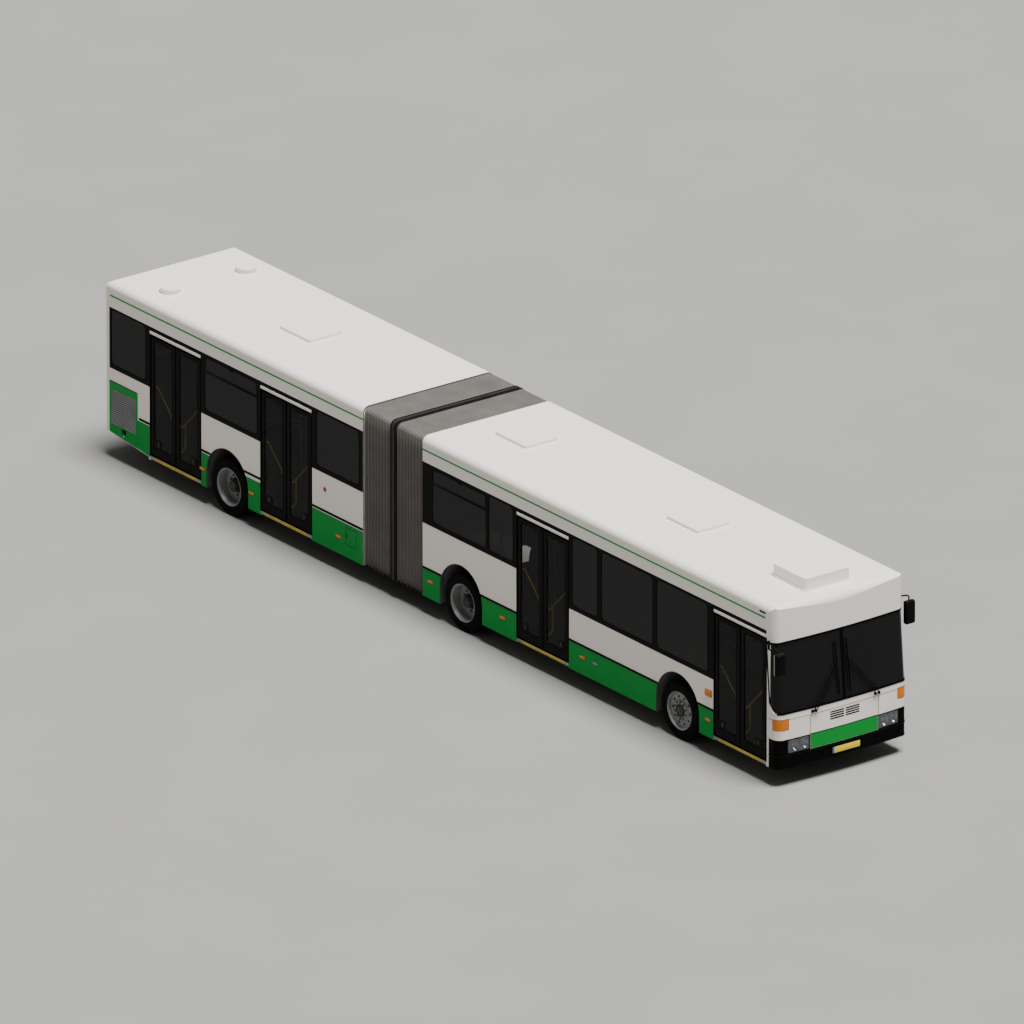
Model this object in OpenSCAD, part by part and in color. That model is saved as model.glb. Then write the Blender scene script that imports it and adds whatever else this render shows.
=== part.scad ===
// Articulated low-floor city bus in millimetres: +X forward, +Y left, +Z up, on the road at z = 0.
// The front section is the root. The rear section turns about the pivot in the bellows.

/* [Body] */
// overall length of the body, nose to tail
body_len = 17600; // [16800:100:18700]
// overall width of the body
body_w = 2550; // [2450:10:2550]
// height of the roof above the road
roof_z = 2985; // [2900:5:3100]
// height of the skirt's lower edge above the road
skirt_z = 300; // [270:5:330]
// height of the cabin floor above the road
floor_z = 375; // [350:5:380]
// thickness of the walls and the roof
wall = 50; // [40:1:60]
// radius of the roof's long edges
roof_r = 115; // [80:5:160]
// height at which the side panels meet the roof
cant_z = 2570; // [2550:5:2600]
// how far the mirrors reach ahead of the nose
mirror_reach = 360; // [250:10:450]
// plan radius of the nose corners
nose_r = 150; // [110:5:240]
// how far the windscreen leans back over its height
screen_lean = 100; // [40:5:140]

/* [Axles] */
// distance from the nose to the front axle
front_overhang = 2610; // [2500:10:2800]
// distance from the front axle to the middle axle
wheelbase_1 = 5615; // [5200:5:5700]
// distance from the middle axle to the rear axle
wheelbase_2 = 6135; // [6000:5:6500]
// outer diameter of a tyre
tyre_d = 957; // [930:1:965]
// width of a tyre
tyre_w = 275; // [255:1:285]
// diameter of the rim where the tyre sits
rim_d = 572; // [560:1:572]
// gap between the two tyres of a twin wheel
twin_gap = 45; // [35:1:60]
// how far the outer sidewall stands inside the skin
tyre_inset = 30; // [20:1:45]
// radius of the wheel opening in the skin
arch_r = 548; // [540:1:556]
// distance from the middle of the bus to each kingpin
kingpin_y = 985; // [970:1:1000]

/* [Bellows] */
// distance from the nose to the front end of the bellows
bellows_front = 9225; // [9100:5:9300]
// length of the bellows
bellows_len = 1560; // [1500:10:1640]
// width of the hoop in the middle of the bellows
hoop_w = 130; // [100:5:160]

/* [Doors] */
// distances from the nose to the middle of each door
door_at = [1010, 6100, 12805, 15730];
// width of a door opening
door_w = 1340; // [1300:5:1345]
// top of a door opening above the road
door_top = 2445; // [2400:5:2450]
// thickness of a door leaf
leaf_t = 34; // [28:1:36]
// radius of the turning column beside each leaf
column_r = 18; // [16:1:20]
// length of the arm that carries a leaf
arm_len = 330; // [315:1:332]

/* [Hidden] */
$fn = 60;
hw = body_w/2;
hi = hw - wall;
xn = (body_len - mirror_reach)/2;
xt = xn - body_len;
x_front = xn - front_overhang;
x_mid = x_front - wheelbase_1;
x_rear = x_mid - wheelbase_2;
x_bf = xn - bellows_front;
x_br = x_bf - bellows_len;
x_piv = (x_bf + x_br)/2;
x_nose = xn - 290;
x_tail = xt + 120;
screen_z0 = 1225;
screen_z1 = 2380;
lean_a = atan(screen_lean/(screen_z1 - screen_z0));
bow_r = 14000;
bumper_t = 40;
wheel_z = tyre_d/2;
tyre_out = hw - tyre_inset;
run = 0.06;
e = 0.3;
door_x = [for (n = door_at) xn - n];
leaf_in = hw - 5 - leaf_t;
column_y = hi - column_r - 5;
column_in = -6;
leaf_gap = 32;
leaf_z0 = 402;
leaf_z1 = 2405;
box_in = 500;
box_in_front = 590;
lining = 20;
lining_r = 570;
engine_x0 = xt + 260;
bulkhead_x = xt + 1110;
shelf_z = 1500;
turn_r = 450;
// side panes: [distance from the nose to the front edge, width, lower edge, upper edge]
panes_front = [[1844, 1311, 1375, 2525], [3255, 1330, 1375, 2525], [4685, 659, 1375, 2530], [6870, 635, 1610, 2535], [7573, 1400, 1610, 2505]];
panes_rear = [[10888, 1122, 1610, 2535], [13570, 1385, 1610, 2505], [16514, 921, 1606, 2540]];
panes_front_left = [[380, 1340, 1150, 2420], [5444, 1330, 1375, 2530]];
panes_rear_left = [[12135, 1340, 1610, 2535], [15060, 1340, 1610, 2535]];
hatch_n = [3740 + 20, 8190 + 20, 13845 + 20];
hatch_x = [for (n = hatch_n) xn - n];
hatch_l = 810;
hatch_w = 650;

white = "white";
grey = "dimgray";
dark = "black";
green = "green";
tint = [0.1, 0.1, 0.1, 0.6];

// a box from one corner to the opposite one
module block(a, b) { translate(a) cube([b[0] - a[0], b[1] - a[1], b[2] - a[2]]); }

// a flat shape in X and Z pushed from y0 to y1
module along_y(y0, y1) { translate([0, y1, 0]) rotate([90, 0, 0]) linear_extrude(y1 - y0) children(); }

// a flat shape in Y and Z pushed from x0 to x1
module along_x(x0, x1) { translate([x0, 0, 0]) rotate([90, 0, 90]) linear_extrude(x1 - x0) children(); }

// a rectangle between two corners with round corners of radius r
module round_rect(x0, y0, x1, y1, r) {
    translate([x0 + r, y0]) square([x1 - x0 - 2*r, y1 - y0]);
    translate([x0, y0 + r]) square([x1 - x0, y1 - y0 - 2*r]);
    for (x = [x0 + r, x1 - r], y = [y0 + r, y1 - r]) translate([x, y]) circle(r = r);
}

// a round bar between two points
module rod(p, q, r) {
    d = q - p;
    l = norm(d);
    translate(p) rotate([0, acos(d[2]/l), atan2(d[1], d[0])]) cylinder(r = r, h = l);
}

// the outline of one side pane, drawn in X and Z and shrunk by i
module pane_2d(p, i = 0) {
    round_rect(xn - p[0] - p[1] + i, p[2] + i, xn - p[0] - i, p[3] - i, 85 - i);
}

// the outline of a wheel opening, round above and straight below
module arch_2d(x, r, top) {
    translate([x, top - r]) circle(r = r);
    translate([x - r, -10]) square([2*r, top - r + 10]);
}

// the roof's cross-section, inset by i
module roof_2d(z0, i) {
    r = roof_r - i;
    translate([-hw + i, z0]) square([body_w - 2*i, roof_z - roof_r - z0]);
    translate([-hw + roof_r, z0]) square([body_w - 2*roof_r, roof_z - i - z0]);
    for (s = [-1, 1]) translate([s*(hw - roof_r), roof_z - roof_r]) circle(r = r);
}

// the plan of the nose, inset by i, from the end of the side walls forward
module nose_plan(i, x0 = x_nose) {
    xc = xn - 41 - nose_r;
    intersection() {
        union() {
            translate([x0, -hw + i]) square([xc - x0, body_w - 2*i]);
            translate([x0, -hw + nose_r]) square([xn - i - x0, body_w - 2*nose_r]);
            for (s = [-1, 1]) translate([xc, s*(hw - nose_r)]) circle(r = nose_r - i);
        }
        translate([xn - bow_r, 0]) circle(r = bow_r - i, $fn = 2400);
        translate([x0, -hw - 5]) square([xn - x0 + 5, body_w + 10]);
    }
}

// the plan of the tail, inset by i
module tail_plan(i, x1 = x_tail) {
    r = wall + 10;
    translate([xt + r, -hw + i]) square([x1 - xt - r, body_w - 2*i]);
    translate([xt + i, -hw + r]) square([x1 - xt - i, body_w - 2*r]);
    for (s = [-1, 1]) intersection() {
        translate([xt + r, s*(hw - r)]) circle(r = r - i);
        translate([xt - 5, -hw - 5]) square([r + 6, body_w + 10]);
    }
}

// the leaning plan column of the windscreen, inset by i
module leaning(i) {
    translate([xn, 0, screen_z0]) rotate([0, -lean_a, 0]) translate([-xn, 0, -200])
        linear_extrude(1700) nose_plan(i, x_nose - 200);
}

// ---------------------------------------------------------------- side walls

module side_2d(x0, x1, panes, doors, arches) {
    difference() {
        translate([x0, skirt_z]) square([x1 - x0, cant_z - skirt_z]);
        for (p = panes) pane_2d(p);
        for (d = doors) translate([d - door_w/2, skirt_z - 1]) square([door_w, door_top - skirt_z + 1]);
        for (a = arches) arch_2d(a, arch_r, wheel_z + 637);
    }
}

// the box over a door that hides its drive, with the seats of the columns' upper pins
module door_drive(x) {
    difference() {
        block([x - door_w/2, -hi, door_top + 5], [x + door_w/2, -hi + 180, cant_z]);
        for (s = [-1, 1]) translate([x + s*(door_w/2 - column_in), -column_y, door_top + 4])
            cylinder(r = 12 + run, h = 16);
    }
}

module front_sides() {
    color(white) {
        along_y(-hw, -hi) side_2d(x_bf, x_nose, panes_front, [door_x[0], door_x[1]], [x_front, x_mid]);
        along_y(hi, hw) side_2d(x_bf, x_nose, concat(panes_front, panes_front_left), [], [x_front, x_mid]);
        for (k = [0, 1]) intersection() {
            door_drive(door_x[k]);
            block([x_bf, -hi, 2000], [x_nose, 0, cant_z]);
        }
    }
}

module rear_sides() {
    color(white) difference() {
        union() {
            along_y(-hw, -hi) side_2d(x_tail, x_br, panes_rear, [door_x[2], door_x[3]], [x_rear]);
            along_y(hi, hw) side_2d(x_tail, x_br, concat(panes_rear, panes_rear_left), [], [x_rear]);
            for (k = [2, 3]) door_drive(door_x[k]);
        }
        rear_rise();
        // the air intake behind the last door
        block([xt + 150, -hw - 1, 605], [xt + 810, -hi + 1, 1200]);
    }
    // the slats of the air intake
    color(grey) for (k = [0:9]) translate([xt + 150 + e, -hw + 6, 618 + k*58])
        rotate([-20, 0, 0]) cube([660 - 2*e, 8, 44]);
}

// what the rising skirt of the rear overhang cuts away
module rear_rise() {
    along_y(-hw - 5, hw + 5) polygon([[xt - 5, 0], [xt - 5, skirt_z + 160], [x_rear - 2080, skirt_z + 40],
        [x_rear - 2080, skirt_z - 5], [x_rear - 2080, 0]]);
}

// ---------------------------------------------------------------- roofs

module roof_shell(x0, x1, hatches) {
    difference() {
        along_x(x0, x1) difference() {
            roof_2d(cant_z, 0);
            translate([0, 0]) roof_2d(cant_z - 1, wall);
        }
        for (h = hatches) block([hatch_x[h] - hatch_l/2 + 60, -hatch_w/2 + 60, roof_z - 100],
            [hatch_x[h] + hatch_l/2 - 60, hatch_w/2 - 60, roof_z + 5]);
    }
}

module front_roof() { color(white) roof_shell(x_bf, x_nose, [0, 1]); }

module rear_roof() {
    color(white) {
        roof_shell(x_tail, x_br, [2]);
        // two round vents over the engine bay
        for (s = [-1, 1]) translate([xt + 1030, s*745, roof_z - 10]) cylinder(r = 168, h = 95);
    }
}

// ---------------------------------------------------------------- nose

module dome(i) {
    r = 150;
    xd = xn - screen_lean;
    intersection() {
        translate([-screen_lean, 0, screen_z1 - (i > 0 ? 1 : 0)])
            linear_extrude(roof_z - screen_z1 + 10) nose_plan(i, x_nose + screen_lean - (i > 0 ? 1 : 0));
        along_x(x_nose - 5, xn + 5) roof_2d(screen_z1 - 5, i);
        along_y(-hw - 5, hw + 5) union() {
            translate([x_nose - 5, screen_z1 - 5]) square([xd - r - x_nose + 5, roof_z - i - screen_z1 + 5]);
            translate([x_nose - 5, screen_z1 - 5]) square([xd - i - x_nose + 5, roof_z - r - screen_z1 + 5]);
            translate([xd - r, roof_z - r]) circle(r = r - i);
        }
    }
}

// the space of a headlamp unit and of a corner indicator, s = 1 on the left
module headlamp_box(s, g = 0) {
    translate([0, s > 0 ? 0 : -1750, 0]) block([xn - 180, 670 + g, 548 + g], [xn + 20, 1080 - g, 778 - g]);
}
module indicator_box(s, g = 0) {
    translate([0, s > 0 ? 0 : -2350, 0]) block([xn - 175 + g, 1065 + g, 955 + g], [xn + 20, 1285, 1130 - g]);
}

module nose() {
    color(white) difference() {
        union() {
            // lower panel, with the part between the lamps
            difference() {
                translate([0, 0, 540]) linear_extrude(screen_z0 - 540) nose_plan(0);
                translate([0, 0, 530]) linear_extrude(screen_z0 - 520) nose_plan(bumper_t, x_nose - 5);
                block([x_nose - 5, 660, 500], [xn + 5, hw + 5, 790]);
                block([x_nose - 5, -hw - 5, 500], [xn + 5, -660, 790]);
            }
            // strip behind the bumper's ends
            for (s = [-1, 1]) block([x_nose, s > 0 ? hi : -hw, skirt_z], [x_nose + 15, s > 0 ? hw : -hi, 790]);
            // windscreen pillars
            for (s = [-1, 1]) block([x_nose, s > 0 ? hi + 10 : -hw, screen_z0 - 5],
                [x_nose + 45, s > 0 ? hw : -hi - 10, screen_z1 + 5]);
            // post between the two panes
            intersection() {
                difference() { leaning(2); leaning(34); }
                block([xn - 200, -16, screen_z0 - 10], [xn + 20, 16, screen_z1 + 10]);
            }
            difference() { dome(0); dome(wall); }
        }
        for (s = [-1, 1]) indicator_box(s);
    }
}

module front_bumper() {
    color(dark) difference() {
        union() {
            difference() {
                translate([0, 0, skirt_z]) linear_extrude(790 - skirt_z) nose_plan(0, x_nose + 15);
                translate([0, 0, skirt_z - 5]) linear_extrude(800 - skirt_z) nose_plan(bumper_t, x_nose);
                block([x_nose - 5, -660, 540], [xn + 5, 660, 800]);
            }
            // boss of the towing eye
            translate([xn - 140, -420, 410]) rotate([0, 90, 0]) cylinder(r = 45, h = 138);
            block([xn - 140, -465, skirt_z + 60], [xn - 100, 465, 420]);
            block([xn - 130, -465, 395], [xn - 25, -375, 425]);
            block([xn - 130, 375, 395], [xn - 25, 465, 425]);
        }
        for (s = [-1, 1]) headlamp_box(s);
        translate([xn - 141, -420, 410]) rotate([0, 90, 0]) cylinder(r = 21, h = 200);
    }
}

module ring(i0, i1, z0, z1) {
    difference() {
        translate([0, 0, z0]) linear_extrude(z1 - z0) nose_plan(i0);
        translate([0, 0, z0 - 1]) linear_extrude(z1 - z0 + 2) nose_plan(i1, x_nose - 5);
    }
}

module front_lamps() {
    color("silver") for (s = [-1, 1]) {
        intersection() { ring(4, 36, 540, 790); headlamp_box(s, e); }
        intersection() { ring(0, 36, 950, 1135); indicator_box(s, e); }
    }
}

module front_glass() {
    color(tint) {
        // windscreen, one pane each side of the post
        for (s = [-1, 1]) intersection() {
            difference() { leaning(4); leaning(12); }
            block([xn - 400, s > 0 ? 16 + e : -hw - 5, screen_z0 + e], [xn + 20, s > 0 ? hw + 5 : -16 - e, screen_z1 - e]);
            block([x_nose + 46, -hw, 0], [xn + 20, hw, 3000]);
        }
        for (p = panes_front) {
            along_y(-hw + 3, -hw + 9) pane_2d(p, e);
            along_y(hw - 9, hw - 3) pane_2d(p, e);
        }
        for (p = panes_front_left) along_y(hw - 9, hw - 3) pane_2d(p, e);
    }
}

// ---------------------------------------------------------------- floors

// a wheel box inside the cabin, from the side wall in to y0, s = 1 on the left
module wheel_box(x, y0, s) {
    top = wheel_z + 637 + 22;
    difference() {
        along_y(s > 0 ? y0 : -hi, s > 0 ? hi : -y0) intersection() {
            arch_2d(x, lining_r + lining, top + lining);
            translate([x - 900, skirt_z]) square([1800, 1500]);
        }
        along_y(s > 0 ? y0 + lining : -hi - 5, s > 0 ? hi + 5 : -y0 - lining) arch_2d(x, lining_r, top);
    }
}

module floor_slab(x0, x1, doors, wheels) {
    difference() {
        union() {
            block([x0, -hi, skirt_z], [x1, hi, floor_z]);
            for (d = doors) block([d - door_w/2 + 2, -hw + 3, skirt_z + 15], [d + door_w/2 - 2, -hi, floor_z]);
        }
        for (w = wheels) for (s = [-1, 1]) block([w[0] - lining_r - 5, s > 0 ? w[1] + 5 : -hi - 1, 0],
            [w[0] + lining_r + 5, s > 0 ? hi + 1 : -w[1] - 5, floor_z + 1]);
        for (d = doors) for (s = [-1, 1]) translate([d + s*(door_w/2 - column_in), -column_y, floor_z - 32])
            cylinder(r = 12 + run, h = 40);
    }
}

module front_floor() {
    color(grey) {
        floor_slab(x_bf, x_nose, [door_x[0], door_x[1]], [[x_front, box_in_front], [x_mid, box_in]]);
        for (s = [-1, 1]) { wheel_box(x_front, box_in_front, s); wheel_box(x_mid, box_in, s); }
        // the driver's platform
        block([x_front + 780, 330, floor_z - 1], [x_nose, hi, 600]);
        // two chassis rails
        for (s = [-1, 1]) block([x_mid + 260, s*380 - 40, skirt_z - 70], [x_front - 260, s*380 + 40, skirt_z + 1]);
    }
}

module rear_floor() {
    color(grey) {
        floor_slab(bulkhead_x, x_br, [door_x[2], door_x[3]], [[x_rear, box_in]]);
        for (s = [-1, 1]) wheel_box(x_rear, box_in, s);
        // wall and shelf round the engine bay
        block([bulkhead_x - 20, -hi, 480], [bulkhead_x, hi, shelf_z]);
        block([bulkhead_x - 20, -hi, floor_z - 60], [bulkhead_x + 1, hi, 481]);
        block([x_tail, -hi, shelf_z - 20], [bulkhead_x, hi, shelf_z]);
        // engine rails
        for (s = [-1, 1]) block([xt + 60, s*400 - 50, 480], [bulkhead_x - 19, s*400 + 50, 540]);
        for (s = [-1, 1]) block([x_rear + 800, s*380 - 40, skirt_z - 70], [x_br - 700, s*380 + 40, skirt_z + 1]);
    }
}

// ---------------------------------------------------------------- seats and dashboard

// a seat for n people facing +X (f = 1) or -X (f = -1), its back's rear face at x, from y0 towards +Y
module seat(x, y0, z, f, n) {
    w = n*440;
    translate([x, y0, z]) mirror([f > 0 ? 0 : 1, 0, 0]) {
        block([60, 0, 400], [480, w, 450]);
        along_y(0, w) polygon([[0, 1000], [50, 1000], [105, 450], [60, 400], [50, 400]]);
        block([150, w/2 - 60, 0], [330, w/2 + 60, 401]);
    }
}

module front_seats() {
    color("darkblue") {
        for (k = [0:4]) seat(x_mid + 640 + k*800, hi - 890, floor_z, 1, 2);
        for (k = [0, 1]) seat(x_front - 2450 + k*850, -hi + 10, floor_z, 1, 2);
        seat(x_front + 1150, 560, 600, 1, 1);
    }
}

module rear_seats() {
    color("darkblue") {
        for (k = [0:2]) seat(x_rear + 720 + k*800, hi - 890, floor_z, 1, 2);
        seat(x_br - 900, -hi + 10, floor_z, 1, 2);
        for (k = [0, 1]) seat(bulkhead_x + 10 + k*780, hi - 890, floor_z, 1, 2);
    }
}

// wheel's tilt and centre
steer_a = 25;
steer_c = [xn - 700, 780, 1290];

module dashboard() {
    color(dark) {
        difference() {
            union() {
                along_y(-420, hi - 30) polygon([[xn - 560, 1060], [xn - 510, 1130], [xn - 155, 1150], [xn - 155, 900], [xn - 470, 880]]);
                block([xn - 330, 350, 600], [xn - 230, hi - 30, 900]);
                block([xn - 330, -420, floor_z], [xn - 230, 330, 900]);
                // steering column
                intersection() {
                    translate(steer_c) rotate([0, 180 - steer_a, 0]) translate([0, 0, 50]) cylinder(r = 45, h = 900);
                    block([xn - 900, 700, 600], [xn - 200, 860, 1400]);
                }
            }
            translate(steer_c) rotate([0, 180 - steer_a, 0]) translate([0, 0, 40]) cylinder(r = 15 + run, h = 110);
        }
        // screen behind the driver
        block([x_front + 800, 330, 600], [x_front + 830, hi - 1, 2050]);
    }
}

module steering_wheel() {
    color(dark) translate(steer_c) rotate([0, 180 - steer_a, 0]) {
        rotate_extrude() translate([225, 0]) circle(r = 15);
        for (a = [90, 210, 330]) rotate([0, 0, a]) translate([20, -14, -6]) cube([200, 28, 12]);
        translate([0, 0, -12]) cylinder(r = 45, h = 57);
        translate([0, 0, 40]) cylinder(r = 15, h = 105);
    }
}

// ---------------------------------------------------------------- roof and outside fittings

module roof_unit() {
    color(white) along_roof_box();
}
module along_roof_box() {
    x0 = xn - 1300;
    x1 = xn - 440;
    difference() {
        union() {
            translate([0, 0, roof_z]) linear_extrude(200) round_rect(x0, -440, x1, 440, 60);
            translate([0, 0, roof_z]) linear_extrude(25) round_rect(x0 - 20, -460, x1 + 20, 460, 60);
        }
        translate([0, 0, roof_z - 1]) linear_extrude(176) round_rect(x0 + 25, -415, x1 - 25, 415, 40);
    }
}

module hatch(k) {
    color(white) translate([hatch_x[k], 0, roof_z + e]) difference() {
        linear_extrude(48) round_rect(-hatch_l/2, -hatch_w/2, hatch_l/2, hatch_w/2, 40);
        translate([0, 0, -1]) linear_extrude(36) round_rect(-hatch_l/2 + 25, -hatch_w/2 + 25, hatch_l/2 - 25, hatch_w/2 - 25, 20);
    }
}
module hatch_1() { hatch(0); }
module hatch_2() { hatch(1); }
module hatch_3() { hatch(2); }

module mirrors() {
    my = hw + 320;
    color(dark) {
        // kerb side, ahead of the windscreen's upper corner
        block([xn + mirror_reach - 110, -my, 2060], [xn + mirror_reach, -my + 190, 2430]);
        rod([x_nose + 25, -hw - 16, 2395], [xn + mirror_reach - 60, -my + 95, 2405], 13);
        rod([x_nose + 25, -hw - 16, 2290], [xn + mirror_reach - 60, -my + 95, 2350], 11);
        block([x_nose + 5, -hw - 24, 2270], [x_nose + 42, -hw, 2420]);
        // driver's side, beside the windscreen pillar
        block([xn - 370, my - 190, 2020], [xn - 270, my, 2410]);
        rod([xn - 390, hw + 9, 2500], [xn - 330, my - 95, 2490], 13);
        block([xn - 350, my - 115, 2470], [xn - 310, my - 75, 2510]);
        rod([xn - 330, my - 95, 2480], [xn - 330, my - 95, 2400], 13);
        block([xn - 420, hw, 2460], [xn - 360, hw + 12, 2540]);
    }
}

// ---------------------------------------------------------------- axles and turntable

module front_axles() {
    color(grey) {
        // the steered axle: a beam dropped under the floor, with a kingpin boss at each end
        difference() {
            union() {
                block([x_front - 50, -860, 180], [x_front + 50, 860, 285]);
                for (s = [-1, 1]) {
                    block([x_front - 45, s > 0 ? 770 : -860, 180], [x_front + 45, s > 0 ? 860 : -770, 512]);
                    block([x_front - 35, s > 0 ? 800 : -kingpin_y, wheel_z - 34], [x_front + 35, s > 0 ? kingpin_y : -800, wheel_z + 34]);
                    translate([x_front, s*kingpin_y, wheel_z - 37]) cylinder(r = 42, h = 74);
                }
            }
            for (s = [-1, 1]) translate([x_front, s*kingpin_y, wheel_z - 60]) cylinder(r = 22 + run, h = 120);
        }
        portal_axle(x_mid);
        // brackets to the floor
        for (s = [-1, 1]) {
            block([x_front - 60, s*500 - 60, 284], [x_front + 60, s*500 + 60, skirt_z]);
            block([x_mid - 60, s*400 - 60, 284], [x_mid + 60, s*400 + 60, skirt_z]);
        }
    }
}

// an axle with its middle dropped under the floor and a fixed spindle at each wheel
module portal_axle(x) {
    block([x - 90, -600, 170], [x + 90, 600, 285]);
    for (s = [-1, 1]) {
        block([x - 130, s > 0 ? box_in + 30 : -640, 170], [x + 130, s > 0 ? 640 : -box_in - 30, 610]);
        translate([x, s*600, wheel_z]) rotate([-90*s, 0, 0]) cylinder(r = 55, h = 460);
    }
}

module rear_axle() {
    color(grey) {
        portal_axle(x_rear);
        translate([x_rear, 0, 227]) rotate([0, 90, 0]) cylinder(r = 72, h = 220);
        for (s = [-1, 1]) block([x_rear - 60, s*400 - 60, 284], [x_rear + 60, s*400 + 60, skirt_z]);
    }
}

module turntable_base() {
    color(grey) difference() {
        union() {
            translate([x_piv, 0, 200]) cylinder(r = turn_r, h = 62);
            block([x_piv, -300, 200], [x_bf + 400, 300, 262]);
            block([x_bf + 60, -300, 261], [x_bf + 400, 300, skirt_z]);
        }
        translate([x_piv, 0, 190]) cylinder(r = 100 + run, h = 90);
    }
}

module turntable_top() {
    color(grey) {
        translate([x_piv, 0, 262 + e]) cylinder(r = turn_r, h = 78);
        translate([x_piv, 0, 202]) cylinder(r = 100, h = 70);
        translate([x_piv, 0, 338]) cylinder(r = bellows_len/2 - 10, h = floor_z - 3 - 338);
        block([x_br - 400, -300, 262 + e], [x_piv, 300, skirt_z]);
    }
}

module knuckle(s) {
    color(grey) translate([x_front, s*kingpin_y, 0]) mirror([0, s > 0 ? 0 : 1, 0]) {
        block([-42, -42, wheel_z - 78], [42, 66, wheel_z - 38]);
        block([-42, -42, wheel_z + 38], [42, 66, wheel_z + 78]);
        block([-42, 47, wheel_z - 78], [42, 66, wheel_z + 78]);
        translate([0, 0, wheel_z - 78]) cylinder(r = 22, h = 156);
        translate([0, 60, wheel_z]) rotate([-90, 0, 0]) cylinder(r = 40, h = 150);
    }
}
module knuckle_left() { knuckle(1); }
module knuckle_right() { knuckle(-1); }

// ---------------------------------------------------------------- wheels

// one tyre lying on its axis from z = 0 to z = tyre_w
module tyre_ring() {
    sr = 38;
    r1 = tyre_d/2;
    r0 = rim_d/2 + e;
    rotate_extrude() union() {
        translate([r0, sr*0.6]) square([r1 - r0 - sr, tyre_w - sr*1.2]);
        translate([r0 + sr, 0]) square([r1 - r0 - 2*sr, tyre_w]);
        translate([r1 - sr - 1, sr]) square([sr + 1, tyre_w - 2*sr]);
        for (z = [sr, tyre_w - sr]) { translate([r1 - sr, z]) circle(r = sr); translate([r0 + sr, z]) circle(r = sr); }
    }
}

// the rim's barrel with its two edges
module barrel(w) {
    r = rim_d/2;
    rotate_extrude() union() {
        translate([r - 24, 0]) square([24, w]);
    }
}

// turns a wheel lying on z into place on the left (s = 1) or the right (s = -1)
module place_wheel(x, s, y) { translate([x, s*y, wheel_z]) rotate([-90*s, 0, 0]) children(); }

module front_tyre(s) { color(dark) place_wheel(x_front, s, tyre_out - tyre_w) tyre_ring(); }

module front_rim(s) {
    b = tyre_out - tyre_w;
    color("silver") place_wheel(x_front, s, b) difference() {
        union() {
            translate([0, 0, 15]) barrel(tyre_w - 30);
            translate([0, 0, tyre_w - 62]) cylinder(r = rim_d/2 - 20, h = 16);
            translate([0, 0, kingpin_y + 76 - b]) cylinder(r = 95, h = tyre_out - 8 - kingpin_y - 76);
        }
        translate([0, 0, kingpin_y + 70 - b]) cylinder(r = 40 + run, h = 145);
        for (k = [0:9]) rotate([0, 0, 36*k]) translate([185, 0, tyre_w - 70]) cylinder(r = 24, h = 40);
    }
}

module twin_tyres(x, s) {
    color(dark) {
        place_wheel(x, s, tyre_out - tyre_w) tyre_ring();
        place_wheel(x, s, tyre_out - 2*tyre_w - twin_gap) tyre_ring();
    }
}

module twin_rims(x, s) {
    b = tyre_out - 2*tyre_w - twin_gap;
    color("silver") place_wheel(x, s, b) difference() {
        union() {
            translate([0, 0, 15]) barrel(tyre_w);
            translate([0, 0, tyre_w + twin_gap - 15]) barrel(tyre_w);
            translate([0, 0, tyre_w - 11]) barrel(twin_gap + 22);
            translate([0, 0, tyre_w + twin_gap/2 - 15]) cylinder(r = rim_d/2 - 10, h = 30);
            translate([0, 0, 90]) cylinder(r = 125, h = tyre_w*2 + twin_gap - 155 - 90);
        }
        translate([0, 0, -10]) cylinder(r = 55 + run, h = 640 - 598 + 430 - 30);
    }
}

module tyre_front_left() { front_tyre(1); }
module tyre_front_right() { front_tyre(-1); }
module tyre_middle_left() { twin_tyres(x_mid, 1); }
module tyre_middle_right() { twin_tyres(x_mid, -1); }
module tyre_rear_left() { twin_tyres(x_rear, 1); }
module tyre_rear_right() { twin_tyres(x_rear, -1); }
module rim_front_left() { front_rim(1); }
module rim_front_right() { front_rim(-1); }
module rim_middle_left() { twin_rims(x_mid, 1); }
module rim_middle_right() { twin_rims(x_mid, -1); }
module rim_rear_left() { twin_rims(x_rear, 1); }
module rim_rear_right() { twin_rims(x_rear, -1); }

// ---------------------------------------------------------------- bellows

module bellows_part(x0, x1, i, t) {
    along_x(x0, x1) difference() {
        intersection() { translate([-hw, skirt_z]) square([body_w, 3000]); roof_2d(skirt_z, i); }
        roof_2d(skirt_z - 1, i + t);
    }
}

module bellows() {
    color("gray") {
        bellows_part(x_piv + hoop_w/2 + e, x_bf - e, 6, 55);
        bellows_part(x_br + e, x_piv - hoop_w/2 - e, 6, 55);
    }
}

module bellows_hoop() { color(dark) bellows_part(x_piv - hoop_w/2, x_piv + hoop_w/2, 0, 70); }

// ---------------------------------------------------------------- doors

// a turning column with an arm over and under the leaf, opening towards +X (f = 1) or -X (f = -1)
module door_arm(x, f) {
    color(grey) translate([x - f*(door_w/2 - column_in), -column_y, 0]) mirror([f > 0 ? 0 : 1, 0, 0]) {
        translate([0, 0, floor_z + 7]) cylinder(r = column_r, h = 2428 - floor_z - 7);
        translate([0, 0, floor_z - 30]) cylinder(r = 12, h = 50);
        translate([0, 0, 2420]) cylinder(r = 12, h = door_top + 17 - 2420);
        for (z = [[floor_z + 7, leaf_z0 - 8], [leaf_z1 + 8, 2428]]) {
            block([0, -12, z[0]], [arm_len, 12, z[1]]);
            translate([arm_len, 0, z[0]]) cylinder(r = 16, h = z[1] - z[0]);
        }
        translate([arm_len, 0, leaf_z0 - 9]) cylinder(r = 8, h = 33);
        translate([arm_len, 0, leaf_z1 - 24]) cylinder(r = 8, h = 33);
    }
}

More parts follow.
